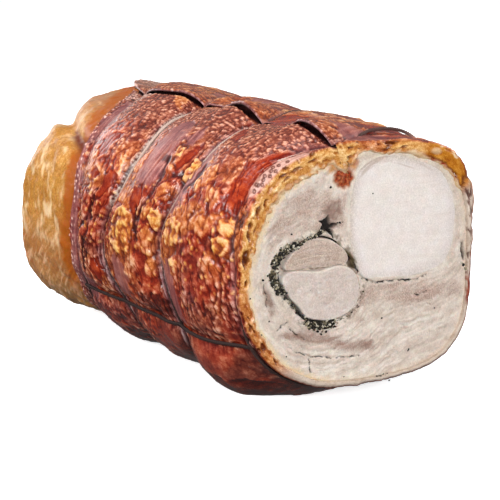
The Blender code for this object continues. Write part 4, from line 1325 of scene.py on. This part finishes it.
# The bed's rings: millimetres in from the seam's outline, millimetres behind the cut
BED_RINGS = ((-0.9, 3.2), (0.3, 2.4), (1.4, 2.2), (2.6, 2.6), (3.4, 3.6), (3.4, 30.0))
BED_TONE = 0.12
BED_DROP = 9           # millimetres that the bed goes back on the loin's side, where no herbs show


def make_herb_bed(material):
    """A dark moist ring behind the chopped herbs."""
    angle = all_round(240)
    outline = ring(HEART, angle)
    rows = []
    for inset, depth in BED_RINGS:
        r = outline - inset - 0.25 * streaks(angle / 3, angle * 0, 401, 2)
        y, z = HEART[0][0] + r * cosine(angle), HEART[0][1] + r * sine(angle)
        x = CUT_X - depth - BED_DROP * fade(angle, 52, 62) - BED_DROP * ease(angle, 292, 304) + 0 * y
        rows.append(np.stack([x, y, z], -1))
    points = np.concatenate(rows) * MM
    points[..., 2] += AXIS_HEIGHT
    made = grid_mesh("herb_bed", points, {"tone": np.full(points.shape[:2], BED_TONE)})
    piece(made, material, "herb_filling")


# ---------------------------------------------------------------- the bare far end
END_COLUMNS, END_ROWS = 430, 125
END_CROWDING = 1.8     # above 1, the rows lie closer together towards the tip
END_UNDER_RIND = 0.006
ROUND_FROM = -100      # millimetres along the roll where the end starts to face backwards


def make_far_end(material):
    """The golden dome of fat that bulges out of the rind, with its deep fold."""
    share = np.linspace(0, 1, END_ROWS, endpoint=False)[:, None]
    share = 1 - (1 - share) ** END_CROWDING
    start = rind_end(all_round(END_COLUMNS)) + END_UNDER_RIND
    x = start + (-HALF_LENGTH - start) * share
    angle = all_round(END_COLUMNS) + 0 * x
    points = place_points(x, angle, bare_radius(x, angle))
    p = points / MM
    lumpy = grain(p, 11.0, 501)
    slanting = [(p[..., 0] + p[..., 2] * 0.8) / 12, (p[..., 2] - p[..., 0] * 0.8) / 1.6, p[..., 1] / 6]
    fibres = grain(np.stack(slanting, -1), 1.0, 502)
    low = between(angle, 190, 290, 30)
    fine = grain(p / np.array([2.2, 1.0, 1.0]), 1.6, 503)
    upright = grain(p / np.array([1.5, 1.5, 4.0]), 1.6, 506)
    relief = 0.9 * lumpy + 0.18 * fine + low * 0.45 * fibres
    outward = p - np.array([0, 0, AXIS_HEIGHT / MM])
    outward[..., 0] = np.where(p[..., 0] < ROUND_FROM, (p[..., 0] - ROUND_FROM) * 1.2, 0)
    outward /= np.linalg.norm(outward, axis=-1, keepdims=True)
    points = points + outward * (relief[..., None] - 0.5) * MM
    points[..., 0] = np.maximum(points[..., 0], -HALF_LENGTH)
    points[..., 2] = np.maximum(points[..., 2], 0)
    past = -((x - rind_end(angle)) / MM)
    near_rind = fade(past + 2.5 * grain(p, 6.0, 505, 2), 11, 21)
    fold = BARE_FOLDS[0][0] + BARE_FOLDS[0][1] * (x - BARE_FOLD_FROM)
    notch = bell(angle + 0.8 * lumpy, fold + 0.5, 2.9) * fade(past + 3 * fine, 26, 38) * ease(past, 3, 10)
    cream = clamp(ease(0.8 * upright + 0.7 * grain(p, 9.0, 504, 2), 0.0, 1.1) * (1 - 0.8 * near_rind))
    # The cream is painted stronger on the side that faces the lamps, as a broad painted highlight, and on the back,
    # with the blush there, as painted light where the lamps reach little; the dark notch is painted shade in the
    # deep fold.
    masks = {
        "rich": clamp((1.05 * near_rind + 0.1 * fine) * between(angle, 66, 214, 26)),
        "pale": cream * (bell(angle, 178, 40) * 0.9 + 0.2 + 0.25 * bell(angle, 122, 9)
                         + 0.5 * bell(angle, 15, 60)),
        "streak": clamp(low * ease(fibres, 0.15, 0.7)) * 0.7,
        "brown": clamp(low * (0.4 - 0.5 * fibres)) * 0.8,
        "blush": clamp(bell(angle, 112, 18) * 0.8 + bell(angle, 203, 20) * 0.4
                       + bell(angle, 10, 60) * (0.45 + 0.5 * lumpy)),
        "dark": np.clip(notch * 1.5 - 0.3, 0, 0.95),
    }
    tip = np.array([[-HALF_LENGTH + 0.0004, 0.0, AXIS_HEIGHT]])
    piece(grid_mesh("bare_end", points, masks, tip), material, "belly")


# ---------------------------------------------------------------- the twine
PLIES, PLY_SIDES = 3, 6
PLY_TURN = 5.5     # millimetres along the twine for one turn of its plies
PLY_SHARE = 0.55
LOOP_STEPS, LENGTHWISE_STEPS = 560, 400
# How deep the roast skin has closed over each loop: (angle, millimetres)
TWINE_SUNK = {
    "face": ((20, 0.4), (66, 0.6), (76, 1.0), (84, 2.6), (98, 3.0), (130, 3.2), (190, 3.0), (203, 0.8),
             (230, 0.2), (290, 0.2)),
    "middle": ((20, 0.4), (70, 0.6), (92, 0.8), (112, 1.6), (150, 0.9), (175, 1.4), (190, 0.5), (215, 0.2),
               (290, 0.2)),
    "third": ((20, 0.4), (70, 0.6), (92, 0.8), (108, 1.0), (120, 0.3), (152, 0.3), (172, 1.8), (190, 1.0),
              (215, 0.3), (290, 0.2)),
    "far": ((20, 0.4), (70, 0.6), (92, 0.8), (112, 1.8), (150, 2.0), (180, 1.8), (200, 0.8), (215, 0.3),
            (290, 0.2)),
}


def directions(line, closed):
    """Across and up at each point of a line round or along the roll."""
    ahead = np.roll(line, -1, 0) - np.roll(line, 1, 0) if closed else np.gradient(line, axis=0)
    ahead /= np.linalg.norm(ahead, axis=1, keepdims=True)
    outward = line - np.array([0, 0, AXIS_HEIGHT])
    outward[:, 0] = 0
    across = np.cross(ahead, outward)
    across /= np.linalg.norm(across, axis=1, keepdims=True)
    return across, np.cross(across, ahead)


def loop_route(name):
    """Places, angles and radii along the middle of a loop, sunk in the skin."""
    angle = np.linspace(0, 360, LOOP_STEPS, endpoint=False)
    reach = np.arange(-TWINE_REACH, TWINE_REACH + 1)
    nearby = [top_of_rind(loop_place(name, angle + o), (angle + o) % 360, 0.0) for o in reach]
    radius = np.max(nearby, 0) + TWINE_RADIUS * 0.4 - through(TWINE_SUNK[name], angle, 360) * MM
    return loop_place(name, angle), angle, radius


def lengthwise_route():
    """Places, angles and radii along the middle of the run that lies in the low crease."""
    crossings = [float(loop_place(name, CREASE_ANGLE)) for name in LOOP_ROUTES]
    x = np.linspace(crossings[0], crossings[-1], LENGTHWISE_STEPS)
    lift = np.zeros_like(x)
    for near, far in zip(crossings, crossings[1:]):
        here = (x <= near) & (x >= far)
        lift[here] = swell(clamp((near - x[here]) / (near - far)))
    angle = np.full_like(x, CREASE_ANGLE)
    return x, angle, under_layer(x, angle, lift) + TWINE_RADIUS + 0.0005


def make_twine(material):
    vertices, faces, darkened = [], [], []
    for name in [*LOOP_ROUTES, "lengthwise"]:
        closed = name != "lengthwise"
        x, angle, radius = loop_route(name) if closed else lengthwise_route()
        centre = np.stack([x, radius * cosine(angle), AXIS_HEIGHT + radius * sine(angle)], -1)
        centre[:, 2] = np.maximum(centre[:, 2], TWINE_RADIUS + 0.0002)
        run = np.concatenate([[0], np.cumsum(np.linalg.norm(np.diff(centre, axis=0), axis=1))])
        whole = run[-1] + (np.linalg.norm(centre[0] - centre[-1]) if closed else 0)
        twists = round(whole / (PLY_TURN * MM))
        across, up = directions(centre, closed)
        low = ease(angle, 165, 200) * fade(angle, 330, 355)
        darker = 0.4 * between(angle, 50, 104, 8) if closed else 0.25
        tone = np.clip(0.72 + 0.28 * between(angle, 104, 160, 16) - 0.6 * low - darker, 0.05, 1)
        for ply in range(PLIES):
            turn = 2 * math.pi * (run / whole * twists + ply / PLIES)
            away = np.cos(turn)[:, None] * across + np.sin(turn)[:, None] * up
            line = centre + away * TWINE_RADIUS * (1 - PLY_SHARE)
            turn = np.linspace(0, 2 * math.pi, PLY_SIDES, endpoint=False)[None, :, None]
            ply_across, ply_up = directions(line, closed)
            circle = np.cos(turn) * ply_across[:, None] + np.sin(turn) * ply_up[:, None]
            rings = line[:, None] + circle * (TWINE_RADIUS * PLY_SHARE)
            index = sum(map(len, vertices)) + np.arange(len(line) * PLY_SIDES).reshape(-1, PLY_SIDES)
            below = np.roll(index, -1, 0) if closed else index[1:]
            above = index if closed else index[:-1]
            quads = np.stack([above, np.roll(above, -1, 1), np.roll(below, -1, 1), below], -1)
            faces += quads.reshape(-1, 4).tolist()
            if not closed:
                faces += [index[0][::-1].tolist(), index[-1].tolist()]
            vertices.append(rings.reshape(-1, 3))
            darkened.append(np.repeat(tone, PLY_SIDES))
    made = plain_mesh("roasted_twine", np.vstack(vertices), faces, np.concatenate(darkened))
    piece(made, material, "twine")


# ---------------------------------------------------------------- floor, light and camera
WHITE = (1, 1, 1, 1)
FLOOR_SIDE = 7.0
WALL_RADIUS, WALL_SIDES, WALL_FOOT, WALL_TOP = 6.5, 48, -0.5, 8.0
ROLL_MIDDLE = Vector((0, 0, 0.07))
# Soft square lamps: place, side in metres, power in watts
LAMPS = {
    "key": ((-0.2, -1.6, 0.67), 0.5, 23),
    "front": ((1.7, -0.35, 0.6), 0.7, 26.5),
    "top": ((-0.1, -0.1, 1.6), 0.6, 8),
    "back": ((0.15, 1.9, 1.0), 0.8, 13),
    "side": ((-1.85, -0.1, 0.5), 0.9, 7.0),
}


def backdrop(name, vertices, faces, finish_name, base, roughness, glow, unseen):
    """A part of the studio that glows a little and that the roll's light doesn't meet."""
    shape = bpy.data.meshes.new(name)
    shape.from_pydata(vertices, [], faces)
    thing = placed(name, shape)
    shape.materials.append(finish(finish_name, {
        "Base Color": colour(base), "Roughness": roughness, "Emission Color": WHITE,
        "Emission Strength": glow})[0])
    for word in unseen:
        setattr(thing, "visible_" + word, False)


def make_studio():
    side = FLOOR_SIDE
    corners = [(-side, -side, 0), (side, -side, 0), (side, side, 0), (-side, side, 0)]
    backdrop("floor", corners, [(0, 1, 2, 3)], "pale studio floor", "#f7f7f7", 0.9, 0.7,
             ("diffuse", "glossy"))
    # A white wall all round closes the view behind the floor and changes no light on the roll
    turn = np.linspace(0, 2 * math.pi, WALL_SIDES, endpoint=False)
    ring_points = [(WALL_RADIUS * math.cos(a), WALL_RADIUS * math.sin(a)) for a in turn]
    after = [(i + 1) % WALL_SIDES for i in range(WALL_SIDES)]
    backdrop("white_wall", [(a, b, z) for z in (WALL_FOOT, WALL_TOP) for a, b in ring_points],
             [(i, j, WALL_SIDES + j, WALL_SIDES + i) for i, j in enumerate(after)],
             "white studio wall", "#000000", 1.0, 1.0, ("diffuse", "glossy", "transmission", "shadow"))
    # A pale sky, brighter overhead
    world = bpy.data.worlds.new("studio")
    bpy.context.scene.world = world
    world.use_nodes = True
    tree = world.node_tree
    up = add(tree, "SeparateXYZ", {0: add(tree, "TexCoord").outputs["Generated"]}).outputs["Z"]
    level = add(tree, "MapRange", {0: up, 1: -0.25, 2: 0.5, 3: 0.14, 4: 0.3}).outputs[0]
    tree.links.new(level, tree.nodes["Background"].inputs["Strength"])
    tree.nodes["Background"].inputs["Color"].default_value = WHITE
    for name, (at, side, power) in LAMPS.items():
        light = bpy.data.lights.new(name, "AREA")
        light.energy, light.size = power, side
        lamp = placed(name, light)
        lamp.location = at
        lamp.rotation_mode = "QUATERNION"
        lamp.rotation_quaternion = (ROLL_MIDDLE - Vector(at)).to_track_quat("-Z", "Y")


AZIMUTH, ELEVATION = math.radians(58), math.radians(12)
SENSOR, LENS = 36, 129.6       # millimetres
CAMERA_PLACE = (0.92499, -0.56091, 0.28885)


def make_camera():
    """The photo's view, fitted to the cut face and the roll's outline."""
    right = Vector((math.cos(AZIMUTH), math.sin(AZIMUTH), 0))
    ahead = Vector((-math.sin(AZIMUTH) * math.cos(ELEVATION), math.cos(AZIMUTH) * math.cos(ELEVATION),
                    -math.sin(ELEVATION)))
    lens = bpy.data.cameras.new("camera")
    lens.sensor_width, lens.lens, lens.clip_end = SENSOR, LENS, 50
    camera = placed("camera", lens)
    turned = Matrix((right, right.cross(ahead), -ahead)).transposed().to_4x4()
    turned.translation = Vector(CAMERA_PLACE)
    camera.matrix_world = turned
    bpy.context.scene.camera = camera


def main():
    bpy.context.scene.view_settings.view_transform = "Standard"
    make_rind(roast_rind())
    make_cut_face(cut_meat("roast belly meat", "#a58b7d #bda497 #d0bbae", "#d0c0b2 #dfd0c3 #ebe0d4"))
    make_muscles()
    # Herbs roasted nearly black, with pale grits of pepper and garlic among them
    herbs = plain_finish("chopped roast herbs", "#120f0b #241f16 #50472f #a5997f #ddd5c4", 0.6)
    make_herb_bed(herbs)
    make_herbs(herbs)
    make_far_end(golden_fat())
    # Undyed cotton, spun of three plies and scorched brown where it lay open
    make_twine(plain_finish("roasted cotton twine", "#24120f #4c302a #8f6f66 #cdb2a5", 0.75))
    make_studio()
    make_camera()


main()
